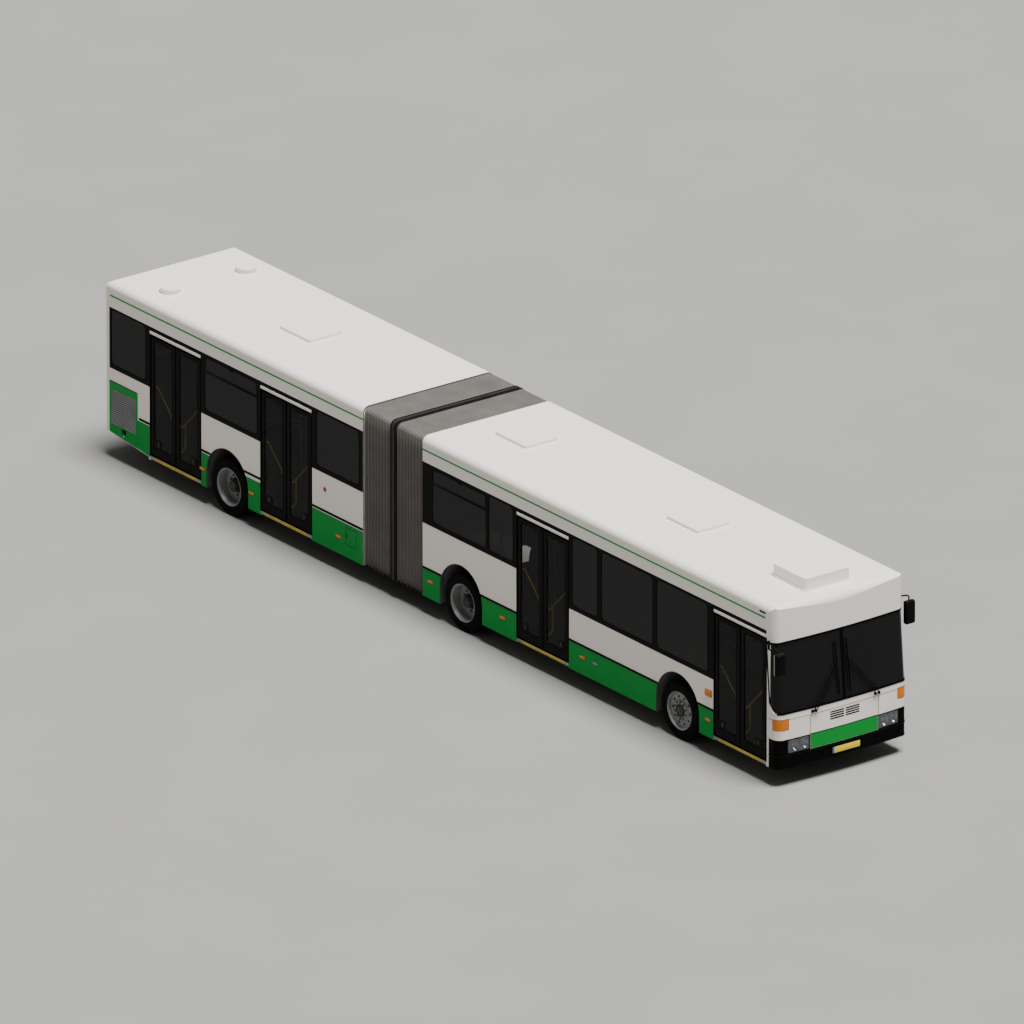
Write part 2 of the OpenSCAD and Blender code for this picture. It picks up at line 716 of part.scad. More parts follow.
// a door leaf with its pane and the two brackets that hang on the arms
module door_leaf(x, f) {
    o = door_w/2 - column_in;
    b = o - 5;
    color(dark) translate([x - f*o, 0, 0]) mirror([f > 0 ? 0 : 1, 0, 0]) difference() {
        union() {
            along_y(-hw + 5, -leaf_in) difference() {
                translate([leaf_gap, leaf_z0]) square([b - leaf_gap, leaf_z1 - leaf_z0]);
                round_rect(leaf_gap + 66, 541, b - 92, 2345, 25);
            }
            along_y(-hw + 14, -hw + 20) round_rect(leaf_gap + 60, 535, b - 86, 2351, 25);
            for (z = [[leaf_z0, leaf_z0 + 28], [leaf_z1 - 28, leaf_z1]])
                block([arm_len - 20, -leaf_in - 1, z[0]], [arm_len + 20, -column_y + 20, z[1]]);
        }
        translate([arm_len, -column_y, leaf_z0 - 5]) cylinder(r = 8 + run, h = 31);
        translate([arm_len, -column_y, leaf_z1 - 26]) cylinder(r = 8 + run, h = 31);
    }
}

module arm_1_rear() { door_arm(door_x[0], 1); }
module arm_1_front() { door_arm(door_x[0], -1); }
module leaf_1_rear() { door_leaf(door_x[0], 1); }
module leaf_1_front() { door_leaf(door_x[0], -1); }
module arm_2_rear() { door_arm(door_x[1], 1); }
module arm_2_front() { door_arm(door_x[1], -1); }
module leaf_2_rear() { door_leaf(door_x[1], 1); }
module leaf_2_front() { door_leaf(door_x[1], -1); }
module arm_3_rear() { door_arm(door_x[2], 1); }
module arm_3_front() { door_arm(door_x[2], -1); }
module leaf_3_rear() { door_leaf(door_x[2], 1); }
module leaf_3_front() { door_leaf(door_x[2], -1); }
module arm_4_rear() { door_arm(door_x[3], 1); }
module arm_4_front() { door_arm(door_x[3], -1); }
module leaf_4_rear() { door_leaf(door_x[3], 1); }
module leaf_4_front() { door_leaf(door_x[3], -1); }

// ---------------------------------------------------------------- tail

tail_z0 = 455;
door_z0 = 560;
door_z1 = 1440;
door_y = 940;
rear_win = [1620, 2440];

module tail() {
    color(white) difference() {
        intersection() {
            translate([0, 0, tail_z0]) linear_extrude(roof_z - tail_z0 + 5) tail_plan(0);
            along_x(xt - 5, x_tail) roof_2d(0, 0);
            along_y(-hw - 5, hw + 5) tail_side(0);
        }
        intersection() {
            translate([0, 0, tail_z0 - 5]) linear_extrude(roof_z) tail_plan(wall, x_tail + 5);
            along_x(xt - 5, x_tail + 5) roof_2d(0, wall);
            along_y(-hw - 5, hw + 5) tail_side(wall);
        }
        block([xt - 5, -door_y, door_z0], [xt + wall + 5, door_y, door_z1]);
        along_x(xt - 5, xt + wall + 5) round_rect(-950, rear_win[0], 950, rear_win[1], 90);
        for (s = [-1, 1]) lamp_box(s, 0);
    }
}

// the tail's side view, rounded over to the roof
module tail_side(i) {
    r = 160;
    translate([xt + i, 0]) square([300, roof_z - r]);
    translate([xt + r, 0]) square([300, roof_z - i]);
    translate([xt + r, roof_z - r]) circle(r = r - i);
}

module lamp_box(s, g) { translate([0, s > 0 ? 0 : -2155, 0]) block([xt - 5, 1015 + g, 700 + g], [xt + 70, 1140 - g, 1330 - g]); }

module rear_lamps() {
    color("red") for (s = [-1, 1]) intersection() {
        lamp_box(s, e);
        difference() {
            translate([0, 0, 690]) linear_extrude(650) tail_plan(0);
            translate([0, 0, 680]) linear_extrude(670) tail_plan(35, x_tail + 5);
        }
    }
}

module rear_glass() {
    color(tint) {
        along_x(xt + 4, xt + 10) round_rect(-950 + e, rear_win[0] + e, 950 - e, rear_win[1] - e, 90 - e);
        for (p = panes_rear) {
            along_y(-hw + 3, -hw + 9) pane_2d(p, e);
            along_y(hw - 9, hw - 3) pane_2d(p, e);
        }
        for (p = panes_rear_left) along_y(hw - 9, hw - 3) pane_2d(p, e);
    }
}

module engine_door() {
    color(white) difference() {
        block([xt, -door_y + 6, door_z0 + 6], [xt + 34, door_y - 6, door_z1 - e]);
        block([xt + 14, -door_y + 40, door_z0 + 40], [xt + 40, door_y - 40, door_z1 - 40]);
    }
}

module engine() {
    color("darkslategray") {
        block([engine_x0, -500, 540], [bulkhead_x - 120, 1050, 1380]);
    }
}

front_floor();
front_sides();
front_roof();
nose();
front_bumper();
front_glass();
front_lamps();
dashboard();
front_seats();
roof_unit();
mirrors();
front_axles();
turntable_base();
bellows();
rear_floor();
rear_sides();
rear_roof();
tail();
rear_glass();
rear_lamps();
rear_seats();
engine();
rear_axle();
turntable_top();
bellows_hoop();
hatch_1();
hatch_2();
hatch_3();
engine_door();
knuckle_left();
knuckle_right();
steering_wheel();
tyre_front_left();
tyre_front_right();
tyre_middle_left();
tyre_middle_right();
tyre_rear_left();
tyre_rear_right();
rim_front_left();
rim_front_right();
rim_middle_left();
rim_middle_right();
rim_rear_left();
rim_rear_right();
arm_1_front();
arm_1_rear();
leaf_1_front();
leaf_1_rear();
arm_2_front();
arm_2_rear();
leaf_2_front();
leaf_2_rear();
arm_3_front();
arm_3_rear();
leaf_3_front();
leaf_3_rear();
arm_4_front();
arm_4_rear();
leaf_4_front();
leaf_4_rear();
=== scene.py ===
# %% [markdown]
# # An articulated city bus, looks on a fixed frame
#
# The structure, the joints and every size come from a CAD model that is loaded
# first and never changed. This file gives that frame its looks: paint, glass,
# rubber, bellows, wheels, doors and lamps. The bus is 18 m long and drives
# towards +X, its left side is +Y, and the road is z = 0. Everything is in metres.

import math

import bmesh
import bpy
from mathutils import Matrix, Vector


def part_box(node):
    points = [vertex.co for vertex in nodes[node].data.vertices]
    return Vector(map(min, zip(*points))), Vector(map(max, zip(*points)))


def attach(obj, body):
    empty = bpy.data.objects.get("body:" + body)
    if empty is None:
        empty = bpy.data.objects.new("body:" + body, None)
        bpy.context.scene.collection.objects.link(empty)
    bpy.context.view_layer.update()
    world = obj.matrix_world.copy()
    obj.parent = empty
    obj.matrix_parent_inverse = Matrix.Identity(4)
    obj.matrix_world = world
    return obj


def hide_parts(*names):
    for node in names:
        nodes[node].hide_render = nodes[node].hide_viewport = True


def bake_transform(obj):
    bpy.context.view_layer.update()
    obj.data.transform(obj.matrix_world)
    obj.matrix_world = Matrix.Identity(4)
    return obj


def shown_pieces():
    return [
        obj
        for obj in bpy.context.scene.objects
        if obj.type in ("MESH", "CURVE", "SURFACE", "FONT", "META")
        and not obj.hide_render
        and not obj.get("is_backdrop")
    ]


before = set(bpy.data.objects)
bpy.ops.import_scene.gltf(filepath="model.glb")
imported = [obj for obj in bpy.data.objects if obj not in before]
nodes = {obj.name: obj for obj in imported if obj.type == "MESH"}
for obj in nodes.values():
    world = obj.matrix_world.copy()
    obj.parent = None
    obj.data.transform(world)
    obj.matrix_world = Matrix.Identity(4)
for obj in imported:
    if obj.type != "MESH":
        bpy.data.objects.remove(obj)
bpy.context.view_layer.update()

# %% [markdown]
# ## Main sizes
#
# A coachbuilder sets everything out from a few datum lines: the nose, the tail,
# the two ends of the bellows, the side of the body and the door and axle centres.
# They are read from the CAD boxes here, so that a piece placed from them fits
# without any adjustment. `behind_nose` turns a distance from the nose into an x.

# %% Datum lines from the CAD
front_low, front_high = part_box("front_sides")
rear_low, rear_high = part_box("rear_sides")
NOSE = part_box("nose")[1].x
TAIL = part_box("tail")[0].x
SIDE = front_high.y
SKIRT, CANT = front_low.z, front_high.z
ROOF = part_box("front_roof")[1].z
DOORS = [(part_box(f"leaf_{k}_rear")[0].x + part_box(f"leaf_{k}_front")[1].x) / 2 for k in (1, 2, 3, 4)]
DOOR_HALF = 0.670
AXLES = {place: sum(c.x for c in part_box(f"tyre_{place}_left")) / 2 for place in ("front", "middle", "rear")}
ARCH_R = 0.548
ARCH_TOP = 1.1155


def behind_nose(distance):
    """x of a point this far behind the nose."""
    return NOSE - distance


print("nose", round(NOSE, 3), "tail", round(TAIL, 3), "doors", [round(x, 3) for x in DOORS], "axles", AXLES)

# %% [markdown]
# ## Camera
#
# The bus is seen from its right front corner and from a little above, with a very
# long lens from far away, so that parallel lines stay parallel. That flat look is
# what makes an 18 m vehicle readable in one picture. A camera 650 m away with a
# lens of 1458 mm gives it, and keeps depth of field and shift off.

# %% Make the camera
scene = bpy.context.scene
turn, rise, reach = math.radians(53.03), math.radians(21.8), 650.0
back = Vector((math.sin(turn) * math.cos(rise), -math.cos(turn) * math.cos(rise), math.sin(rise)))
camera = bpy.data.objects.new("camera", bpy.data.cameras.new("camera"))
scene.collection.objects.link(camera)
camera.data.sensor_width = 36.0
camera.data.lens = 2.243 * reach
camera.data.clip_start, camera.data.clip_end = 10.0, 3000.0
camera.location = Vector((0.009, 0.015, 1.590)) + back * reach
camera.rotation_euler = (-back).to_track_quat("-Z", "Y").to_euler()
scene.camera = camera
print("camera lens", round(camera.data.lens), "mm at", [round(v) for v in camera.location])

# %% [markdown]
# ## Colour and node helpers
#
# Paint makers and printers give a colour as an sRGB hex value, while a renderer
# adds up light, which is linear. `colour` does that one conversion, so all the
# colours below can be read as they look. `add_node` adds one node to a material,
# with its settings and its links, and `start_material` makes a material whose
# uniform values sit directly on the sockets of its surface shader.

# %% Colour and node helpers
def colour(hex_value):
    """Linear RGBA of an sRGB hex value such as "1F9A43"."""
    channels = [int(hex_value[i : i + 2], 16) / 255 for i in (0, 2, 4)]
    return [c / 12.92 if c <= 0.04045 else ((c + 0.055) / 1.055) ** 2.4 for c in channels] + [1.0]


def add_node(material, kind, settings=None, links=None):
    """Adds a node; settings go to its sockets or its own values, links are {socket: (node, output)}."""
    node = material.node_tree.nodes.new(kind)
    for key, value in (settings or {}).items():
        if key == "stops":
            while len(node.color_ramp.elements) < len(value):
                node.color_ramp.elements.new(1.0)
            for element, (place, shade) in zip(node.color_ramp.elements, value):
                element.position, element.color = place, shade
        elif key in node.inputs:
            node.inputs[key].default_value = value
        else:
            setattr(node, key, value)
    for key, (source, output) in (links or {}).items():
        material.node_tree.links.new(source.outputs[output], node.inputs[key])
    return node


def start_material(name, **values):
    """A new material and its surface shader; values are socket names with _ for a space."""
    material = bpy.data.materials.new(name)
    material.use_nodes = True
    shader = material.node_tree.nodes["Principled BSDF"]
    for key, value in values.items():
        shader.inputs[key.replace("_", " ")].default_value = value
    return material, shader


def connect(material, source, output, target, socket):
    """Links one node's output to another's socket."""
    material.node_tree.links.new(source.outputs[output], target.inputs[socket])


print("white enamel in linear light:", [round(v, 3) for v in colour("F2EAE2")])

# %% [markdown]
# ## Coach enamel
#
# The body panels are sheet metal and glass fibre, primed, filled and sprayed with
# a two-pack polyurethane enamel. It gives an even, soft-edged shine with a very
# faint orange peel. Its real ripple is about 3 mm, too fine to show at this
# distance, so it is drawn at 20 mm. Road dust climbs the skirt: the paint gets a
# little warmer and duller towards the road. The same recipe serves the white, the
# green and the black paint, so it is one loop over three colours.

# %% Coach enamel in white, green and black
enamels = {}
for shade, top, dirty, shine, orange_peel, mirror_like, lacquer in (
    ("white", "F2EAE2", "CFC6B8", 0.40, 0.10, 0.30, 0.05),
    ("green", "068E34", "1A7A36", 0.42, 0.08, 0.12, 0.0),
    ("black", "030303", "0A0908", 0.45, 0.06, 0.05, 0.0),
):
    material, shader = start_material(
        f"coach_enamel_{shade}",
        Roughness=shine,
        IOR=1.5,
        Specular_IOR_Level=mirror_like,
        Coat_Weight=lacquer,
        Coat_Roughness=0.15,
    )
    where = add_node(material, "ShaderNodeTexCoord")
    # clouds of dust about 400 mm wide
    clouds = add_node(
        material,
        "ShaderNodeTexNoise",
        {"Scale": 2.5, "Detail": 6.0, "Roughness": 0.6},
        {"Vector": (where, "Object")},
    )
    height = add_node(material, "ShaderNodeSeparateXYZ", None, {"Vector": (where, "Object")})
    low_down = add_node(
        material,
        "ShaderNodeMapRange",
        {"From Min": 0.25, "From Max": 1.25, "To Min": 0.55, "To Max": 0.03},
        {"Value": (height, "Z")},
    )
    amount = add_node(material, "ShaderNodeMath", {"operation": "MULTIPLY"})
    connect(material, low_down, "Result", amount, 0)
    connect(material, clouds, "Fac", amount, 1)
    paint = add_node(
        material,
        "ShaderNodeMixRGB",
        {"Color1": colour(top), "Color2": colour(dirty)},
        {"Fac": (amount, "Value")},
    )
    connect(material, paint, "Color", shader, "Base Color")
    dull = add_node(
        material,
        "ShaderNodeMapRange",
        {"From Min": 0.0, "From Max": 0.5, "To Min": shine, "To Max": shine + 0.35},
        {"Value": (amount, "Value")},
    )
    connect(material, dull, "Result", shader, "Roughness")
    # orange peel, drawn at 20 mm
    peel = add_node(
        material, "ShaderNodeTexNoise", {"Scale": 50.0, "Detail": 2.0}, {"Vector": (where, "Object")}
    )
    ripple = add_node(
        material, "ShaderNodeBump", {"Strength": orange_peel, "Distance": 0.001}, {"Height": (peel, "Fac")}
    )
    connect(material, ripple, "Normal", shader, "Normal")
    enamels[shade] = material
print("enamels:", sorted(enamels))

# %% [markdown]
# ## Tinted safety glass
#
# The windows are 6 mm toughened glass with a dark bronze-grey tint in the mass, so
# from outside the saloon is only guessed at. A clean pane is almost a mirror at a
# grazing angle. The tint is made by a dark, nearly opaque surface that lets a
# twelfth of the light through, and half of it in the doors, which is quick to
# render and close to how such glass reads. Rain marks are faint streaks 30 mm
# apart that run down the pane.

# %% Tinted glass
tinted_glass, shader = start_material(
    "tinted_safety_glass", IOR=1.52, Roughness=0.06, Alpha=0.92, Specular_IOR_Level=0.12
)
where = add_node(tinted_glass, "ShaderNodeTexCoord")
squeeze = add_node(
    tinted_glass, "ShaderNodeMapping", {"Scale": (33.0, 33.0, 1.6)}, {"Vector": (where, "Object")}
)
streaks = add_node(
    tinted_glass, "ShaderNodeTexNoise", {"Scale": 1.0, "Detail": 4.0}, {"Vector": (squeeze, "Vector")}
)
film = add_node(
    tinted_glass,
    "ShaderNodeValToRGB",
    {"stops": [(0.35, colour("111112")), (0.75, colour("161617"))]},
    {"Fac": (streaks, "Fac")},
)
connect(tinted_glass, film, "Color", shader, "Base Color")
smear = add_node(
    tinted_glass,
    "ShaderNodeMapRange",
    {"From Min": 0.3, "From Max": 0.8, "To Min": 0.05, "To Max": 0.16},
    {"Value": (streaks, "Fac")},
)
connect(tinted_glass, smear, "Result", shader, "Roughness")
# door panes are lighter, so that the rails behind them can be seen
door_glass = tinted_glass.copy()
door_glass.name = "tinted_door_glass"
door_glass.node_tree.nodes[shader.name].inputs["Alpha"].default_value = 0.48
print("tinted glass ready")

# %% [markdown]
# ## Rubber, moulded plastic and black frames
#
# Tyres and seals are carbon-black rubber. New rubber is nearly black with a soft
# sheen; a used tyre greys with dust in its grooves. Door frames and the mirror
# housings are black: powder-coated aluminium with a fine 1 mm grain, and moulded
# ABS with a spark-eroded texture of the same size. Both grains are drawn at 6 mm,
# because finer ones would vanish. The liners of the wheel arches are grey plastic.
# `patterned` makes a material whose colour and relief each come from one pattern,
# and `grained` is the case where both are noise.

# %% Patterned and grained materials
def patterned(name, tones, relief, **values):
    """A material with tones and a relief: (kind of node, settings, output) and then stops or a strength."""
    material, shader = start_material(name, **values)
    where = add_node(material, "ShaderNodeTexCoord")
    kind, settings, output, stops = tones
    pattern = add_node(material, kind, settings, {"Vector": (where, "Object")})
    ramp = {"stops": [(place, colour(shade)) for place, shade in stops]}
    shades = add_node(material, "ShaderNodeValToRGB", ramp, {"Fac": (pattern, output)})
    connect(material, shades, "Color", shader, "Base Color")
    kind, settings, output, strength = relief
    pattern = add_node(material, kind, settings, {"Vector": (where, "Object")})
    bump = add_node(
        material, "ShaderNodeBump", {"Strength": strength, "Distance": 0.001}, {"Height": (pattern, output)}
    )
    connect(material, bump, "Normal", shader, "Normal")
    return material


def grained(name, light, dark, patch, grain, depth, roughness, **values):
    """Two shades that drift in patches, and a grain of this depth; patch and grain are sizes in metres."""
    tones = ("ShaderNodeTexNoise", {"Scale": 1 / patch, "Detail": 5.0}, "Fac", [(0.35, dark), (0.68, light)])
    relief = ("ShaderNodeTexNoise", {"Scale": 1 / grain, "Detail": 3.0}, "Fac", depth)
    return patterned(name, tones, relief, Roughness=roughness, **values)


print("patterned and grained are ready")

# %% Rubber and black plastics
tyre_rubber = grained(
    "tyre_rubber", "0C0C0B", "050505", 0.12, 0.008, 0.5, 0.8, IOR=1.52, Specular_IOR_Level=0.1
)
seal_rubber = grained(
    "seal_rubber_epdm", "050505", "020202", 0.30, 0.006, 0.2, 0.65, IOR=1.52, Specular_IOR_Level=0.06
)
arch_liner = grained(
    "wheel_arch_liner_plastic", "5C5B5A", "484746", 0.30, 0.010, 0.3, 0.7, IOR=1.5, Specular_IOR_Level=0.2
)
black_frame = grained(
    "powder_coated_aluminium_black",
    "060606",
    "020202",
    0.50,
    0.006,
    0.15,
    0.5,
    IOR=1.5,
    Specular_IOR_Level=0.06,
)
black_abs = grained(
    "moulded_abs_black", "070707", "030303", 0.40, 0.006, 0.25, 0.55, IOR=1.53, Specular_IOR_Level=0.08
)
print("blacks ready")

# %% [markdown]
# ## Metals and paints under the floor
#
# Axles, rails and the turntable are steel and cast iron under a thick black-grey
# chassis paint that dust dulls quickly. Wheel discs are steel sprayed silver, with
# aluminium flake that gives a soft sparkle rather than a mirror. The hoop that
# holds the bellows is painted aluminium. Grab rails are steel tube, powder coated
# in signal yellow so that passengers with poor sight find them.

# %% Metals and paints
chassis_paint = grained("chassis_paint", "3A3937", "242321", 0.15, 0.010, 0.4, 0.7, IOR=1.5)
cast_iron = grained("painted_cast_iron", "4B4D4F", "303234", 0.10, 0.008, 0.6, 0.6, Metallic=0.4)
wheel_silver = grained(
    "wheel_silver_paint", "929291", "7C7C7B", 0.20, 0.006, 0.15, 0.5, Metallic=0.25, Specular_IOR_Level=0.3
)
wheel_hub = grained(
    "wheel_hub_cast_steel", "4A4A49", "333332", 0.06, 0.006, 0.35, 0.55, Metallic=0.3, Specular_IOR_Level=0.3
)
hoop_paint = grained(
    "hoop_painted_aluminium", "2D2B2A", "201F1E", 0.40, 0.010, 0.12, 0.55, Specular_IOR_Level=0.25
)
rail_yellow = grained("powder_coated_tube_yellow", "FFDD22", "F2C414", 0.20, 0.006, 0.15, 0.4, IOR=1.5)
bright_steel = grained("brushed_stainless_steel", "C9CBCC", "A9ABAD", 0.05, 0.006, 0.2, 0.3, Metallic=1.0)
intake_grey = grained(
    "galvanised_expanded_steel", "8E8F8F", "7E7F80", 0.30, 0.006, 0.2, 0.55, Specular_IOR_Level=0.3
)
print("metals ready")

# %% [markdown]
# ## Bellows cloth
#
# The bellows between the two sections is polyester cloth coated on both sides with
# a grey synthetic rubber. It is matt with a faint sheen along the folds. The woven
# base telegraphs through as a fine mesh of about 1.5 mm, drawn here at 24 mm so
# that it shows. Dust settles in the valleys of the folds.

# %% Bellows cloth
dust = ("ShaderNodeTexNoise", {"Scale": 3.0, "Detail": 6.0}, "Fac", [(0.3, "5F5B58"), (0.7, "6A6662")])
weft = ("ShaderNodeTexWave", {"Scale": 13.0, "bands_direction": "Z", "Distortion": 0.5}, "Fac", 0.12)
bellows_cloth = patterned(
    "coated_polyester_cloth",
    dust,
    weft,
    Roughness=0.78,
    IOR=1.5,
    Specular_IOR_Level=0.2,
    Sheen_Weight=0.05,
    Sheen_Roughness=0.4,
)
print("bellows cloth ready")

# %% [markdown]
# ## Inside the saloon
#
# The floor is safety vinyl, a grey PVC sheet with harder specks that give grip.
# Seats are moulded polypropylene shells with thin foam pads covered in blue
# moquette, a dense wool pile woven with a small figure that hides stains. The
# figure repeats every 40 mm. The dashboard is soft black PVC over foam.

# %% Saloon materials
specks = ("ShaderNodeTexVoronoi", {"Scale": 90.0}, "Distance")
vinyl = patterned(
    "safety_vinyl_floor",
    (*specks, [(0.12, "A8A6A2"), (0.3, "6F6E6C")]),
    (*specks, 0.2),
    Roughness=0.65,
    IOR=1.53,
)
weave = [(0.12, "C2A13A"), (0.2, "274A86"), (0.6, "1B2F5C")]
figure = ("ShaderNodeTexVoronoi", {"Scale": 25.0, "distance": "CHEBYCHEV"}, "Distance", weave)
pile = ("ShaderNodeTexNoise", {"Scale": 400.0}, "Fac", 0.4)
moquette = patterned(
    "wool_moquette_blue", figure, pile, Roughness=0.9, Sheen_Weight=0.35, Sheen_Roughness=0.5
)
seat_shell = grained("moulded_polypropylene_grey", "5B5F66", "50545A", 0.30, 0.006, 0.2, 0.5, IOR=1.49)
dash_skin = grained("soft_pvc_skin_black", "232323", "191919", 0.20, 0.006, 0.4, 0.6, IOR=1.53)
step_grey = grained("anodised_aluminium_edge", "9A9A98", "82827F", 0.20, 0.006, 0.2, 0.45, Metallic=0.7)
print("saloon ready")

# %% [markdown]
# ## Lamps, plates and mirror glass
#
# Lamp lenses are clear, red or amber polycarbonate, moulded with fine flutes that
# spread the beam. Behind a clear lens sits an aluminised reflector. Number plates
# are retroreflective sheeting, here left blank.

# %% Lamp and plate materials
def lens(name, tint, see_through):
    """Fluted polycarbonate: vertical flutes 31 mm apart, real ones are 4 mm."""
    material, shader = start_material(
        name, Base_Color=colour(tint), Roughness=0.08, IOR=1.585, Alpha=see_through, Specular_IOR_Level=0.25
    )
    where = add_node(material, "ShaderNodeTexCoord")
    flutes = add_node(
        material, "ShaderNodeTexWave", {"Scale": 10.0, "bands_direction": "Y"}, {"Vector": (where, "Object")}
    )
    bump = add_node(
        material, "ShaderNodeBump", {"Strength": 0.5, "Distance": 0.002}, {"Height": (flutes, "Fac")}
    )
    connect(material, bump, "Normal", shader, "Normal")
    deep = add_node(
        material, "ShaderNodeMapRange", {"To Min": 0.05, "To Max": 0.2}, {"Value": (flutes, "Fac")}
    )
    connect(material, deep, "Result", shader, "Roughness")
    return material


clear_lens = lens("polycarbonate_clear", "6C7074", 0.35)
amber_lens = lens("polycarbonate_amber", "D07400", 0.97)
red_lens = lens("polycarbonate_red", "B01212", 0.95)
reflector = grained("aluminised_reflector", "A9ABAD", "8E9093", 0.05, 0.010, 0.1, 0.12, Metallic=1.0)
plate_yellow = grained(
    "reflective_sheeting_yellow", "F0D21C", "E6C714", 0.10, 0.006, 0.1, 0.35, Coat_Weight=0.4
)
plate_blue = grained("reflective_sheeting_blue", "1E3FA0", "193690", 0.10, 0.006, 0.1, 0.35, Coat_Weight=0.4)
sill_yellow = grained("anti_slip_edging_yellow", "C9B13A", "AE9730", 0.10, 0.008, 0.4, 0.6)
mirror_glass = grained("silvered_mirror_glass", "DDE1E3", "D3D7D9", 0.30, 0.010, 0.0, 0.03, Metallic=1.0)
print("lamps ready")

# %% [markdown]
# ## Studio
#
# A plain pale floor and a soft pale surround, with most of the light coming from
# above like a row of overhead soft boxes. That lights the roof most, leaves the
# sides in an even half tone and puts a soft shadow under the skirt.

# %% Floor and light
floor_paint = grained("matt_studio_floor", "8F8E8B", "8B8A87", 3.0, 0.200, 0.05, 0.95, Specular_IOR_Level=0.2)
floor_mesh = bpy.data.meshes.new("studio_floor")
half = 1500.0
floor_mesh.from_pydata(
    [(-half, -half, 0), (half, -half, 0), (half, half, 0), (-half, half, 0)], [], [(0, 1, 2, 3)]
)
floor_mesh.materials.append(floor_paint)
studio_floor = bpy.data.objects.new("studio_floor", floor_mesh)
scene.collection.objects.link(studio_floor)
studio_floor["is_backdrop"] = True

world = bpy.data.worlds.new("studio")
scene.world = world
world.use_nodes = True
world.node_tree.nodes["Background"].inputs["Color"].default_value = colour("EDEEF0")
world.node_tree.nodes["Background"].inputs["Strength"].default_value = 0.21

sun = bpy.data.objects.new("overhead_softbox", bpy.data.lights.new("overhead_softbox", "SUN"))
scene.collection.objects.link(sun)
sun.data.energy, sun.data.angle = 7.8, math.radians(25)
sun.rotation_euler = (math.radians(-3), math.radians(13), 0.0)
print("studio ready")

# %% [markdown]
# ## Tools for making pieces
#
# Most of a coach body is flat sheet with openings cut in it. The same is true
# here: `outline` shapes are drawn in the side view (x, z), `plate` fills them,
# leaves their holes open and gives them a thickness along y. `block`, `tube`,
# `turned` and `sheet` make bevelled bars, bent tubes, lathe-turned parts and sheets
# in any shape. `assemble` joins such meshes into one piece, gives each its
# material, and lets it ride on a body.

# %% Outlines and plates
def rounded(x0, z0, x1, z1, r=0.0, steps=6):
    """The outline of a rectangle with corners of radius r."""
    if r <= 0:
        return [(x0, z0), (x1, z0), (x1, z1), (x0, z1)]
    points = []
    for cx, cz, start in (
        (x1 - r, z0 + r, -90), (x1 - r, z1 - r, 0), (x0 + r, z1 - r, 90), (x0 + r, z0 + r, 180)
    ):
        for k in range(steps + 1):
            a = math.radians(start + 90 * k / steps)
            points.append((cx + r * math.cos(a), cz + r * math.sin(a)))
    return points


def border(x0, z0, x1, z1, r, width, inner_r):
    """A rectangle and the hole in it that leaves a border this wide, as (outline, [hole])."""
    return rounded(x0, z0, x1, z1, r), [rounded(x0 + width, z0 + width, x1 - width, z1 - width, inner_r)]


def drawn(curve, lines, closed):
    """The surface of a curve through lines of points, as a mesh; the curve is deleted."""
    for points in lines:
        line = curve.splines.new("POLY")
        line.points.add(len(points) - 1)
        for point, place in zip(line.points, points):
            point.co = (*place, 1.0)
        line.use_cyclic_u = closed
    drawing = bpy.data.objects.new("drawing", curve)
    scene.collection.objects.link(drawing)
    mesh = bpy.data.meshes.new_from_object(drawing.evaluated_get(bpy.context.evaluated_depsgraph_get()))
    bpy.data.objects.remove(drawing)
    bpy.data.curves.remove(curve)
    mesh.materials.clear()
    return mesh


def plate(outer, holes, y0, y1):
    """A flat sheet in x and z with holes, from y0 to y1."""
    curve = bpy.data.curves.new("outline", "CURVE")
    curve.dimensions, curve.fill_mode, curve.extrude = "2D", "BOTH", abs(y1 - y0) / 2
    mesh = drawn(curve, [[(x, z, 0.0) for x, z in points] for points in (outer, *holes)], True)
    mesh.transform(Matrix.Translation((0, (y0 + y1) / 2, 0)) @ Matrix.Rotation(math.radians(90), 4, "X"))
    return mesh


def finished(shape):
    """A bmesh as a mesh with its faces turned outwards."""
    bmesh.ops.recalc_face_normals(shape, faces=shape.faces)
    mesh = bpy.data.meshes.new("part")
    shape.to_mesh(mesh)
    shape.free()
    return mesh


print("outline of a pane corner has", len(rounded(0, 0, 1, 1, 0.085)), "points")

# %% Bars, tubes and turned parts
def block(low, high, bevel=0.004, segments=2):
    """A bar between two corners with eased edges."""
    shape = bmesh.new()
    size = Vector(high) - Vector(low)
    middle = (Vector(high) + Vector(low)) / 2
    bmesh.ops.create_cube(shape, size=1.0, matrix=Matrix.Translation(middle) @ Matrix.Diagonal((*size, 1.0)))
    bevel = min(bevel, min(abs(v) for v in size) * 0.45)
    if bevel > 0:
        bmesh.ops.bevel(
            shape, geom=shape.edges[:], offset=bevel, segments=segments, affect="EDGES", profile=0.5
        )
    return finished(shape)


def tube(points, radius):
    """A round bar along a line of points."""
    curve = bpy.data.curves.new("line", "CURVE")
    curve.dimensions, curve.bevel_depth, curve.bevel_resolution, curve.use_fill_caps = "3D", radius, 4, True
    return drawn(curve, [points], False)


def turned(profile, centre, direction, steps=64):
    """Spins a profile of (radius, distance along direction) round an axis through centre."""
    direction = Vector(direction).normalized()
    across = direction.orthogonal().normalized()
    other = direction.cross(across)
    shape = bmesh.new()
    rings = []
    for radius, along in profile:
        ring = []
        for k in range(steps if radius > 1e-6 else 1):
            a = 2 * math.pi * k / steps
            outwards = across * math.cos(a) + other * math.sin(a)
            ring.append(shape.verts.new(Vector(centre) + direction * along + outwards * radius))
        rings.append(ring)
    for one, two in zip(rings, rings[1:]):
        for k in range(steps):
            a, b = one[k % len(one)], one[(k + 1) % len(one)]
            c, d = two[(k + 1) % len(two)], two[k % len(two)]
            corners = [v for i, v in enumerate((a, b, c, d)) if v not in (a, b, c, d)[:i]]
            if len(corners) > 2:
                shape.faces.new(corners)
    return finished(shape)


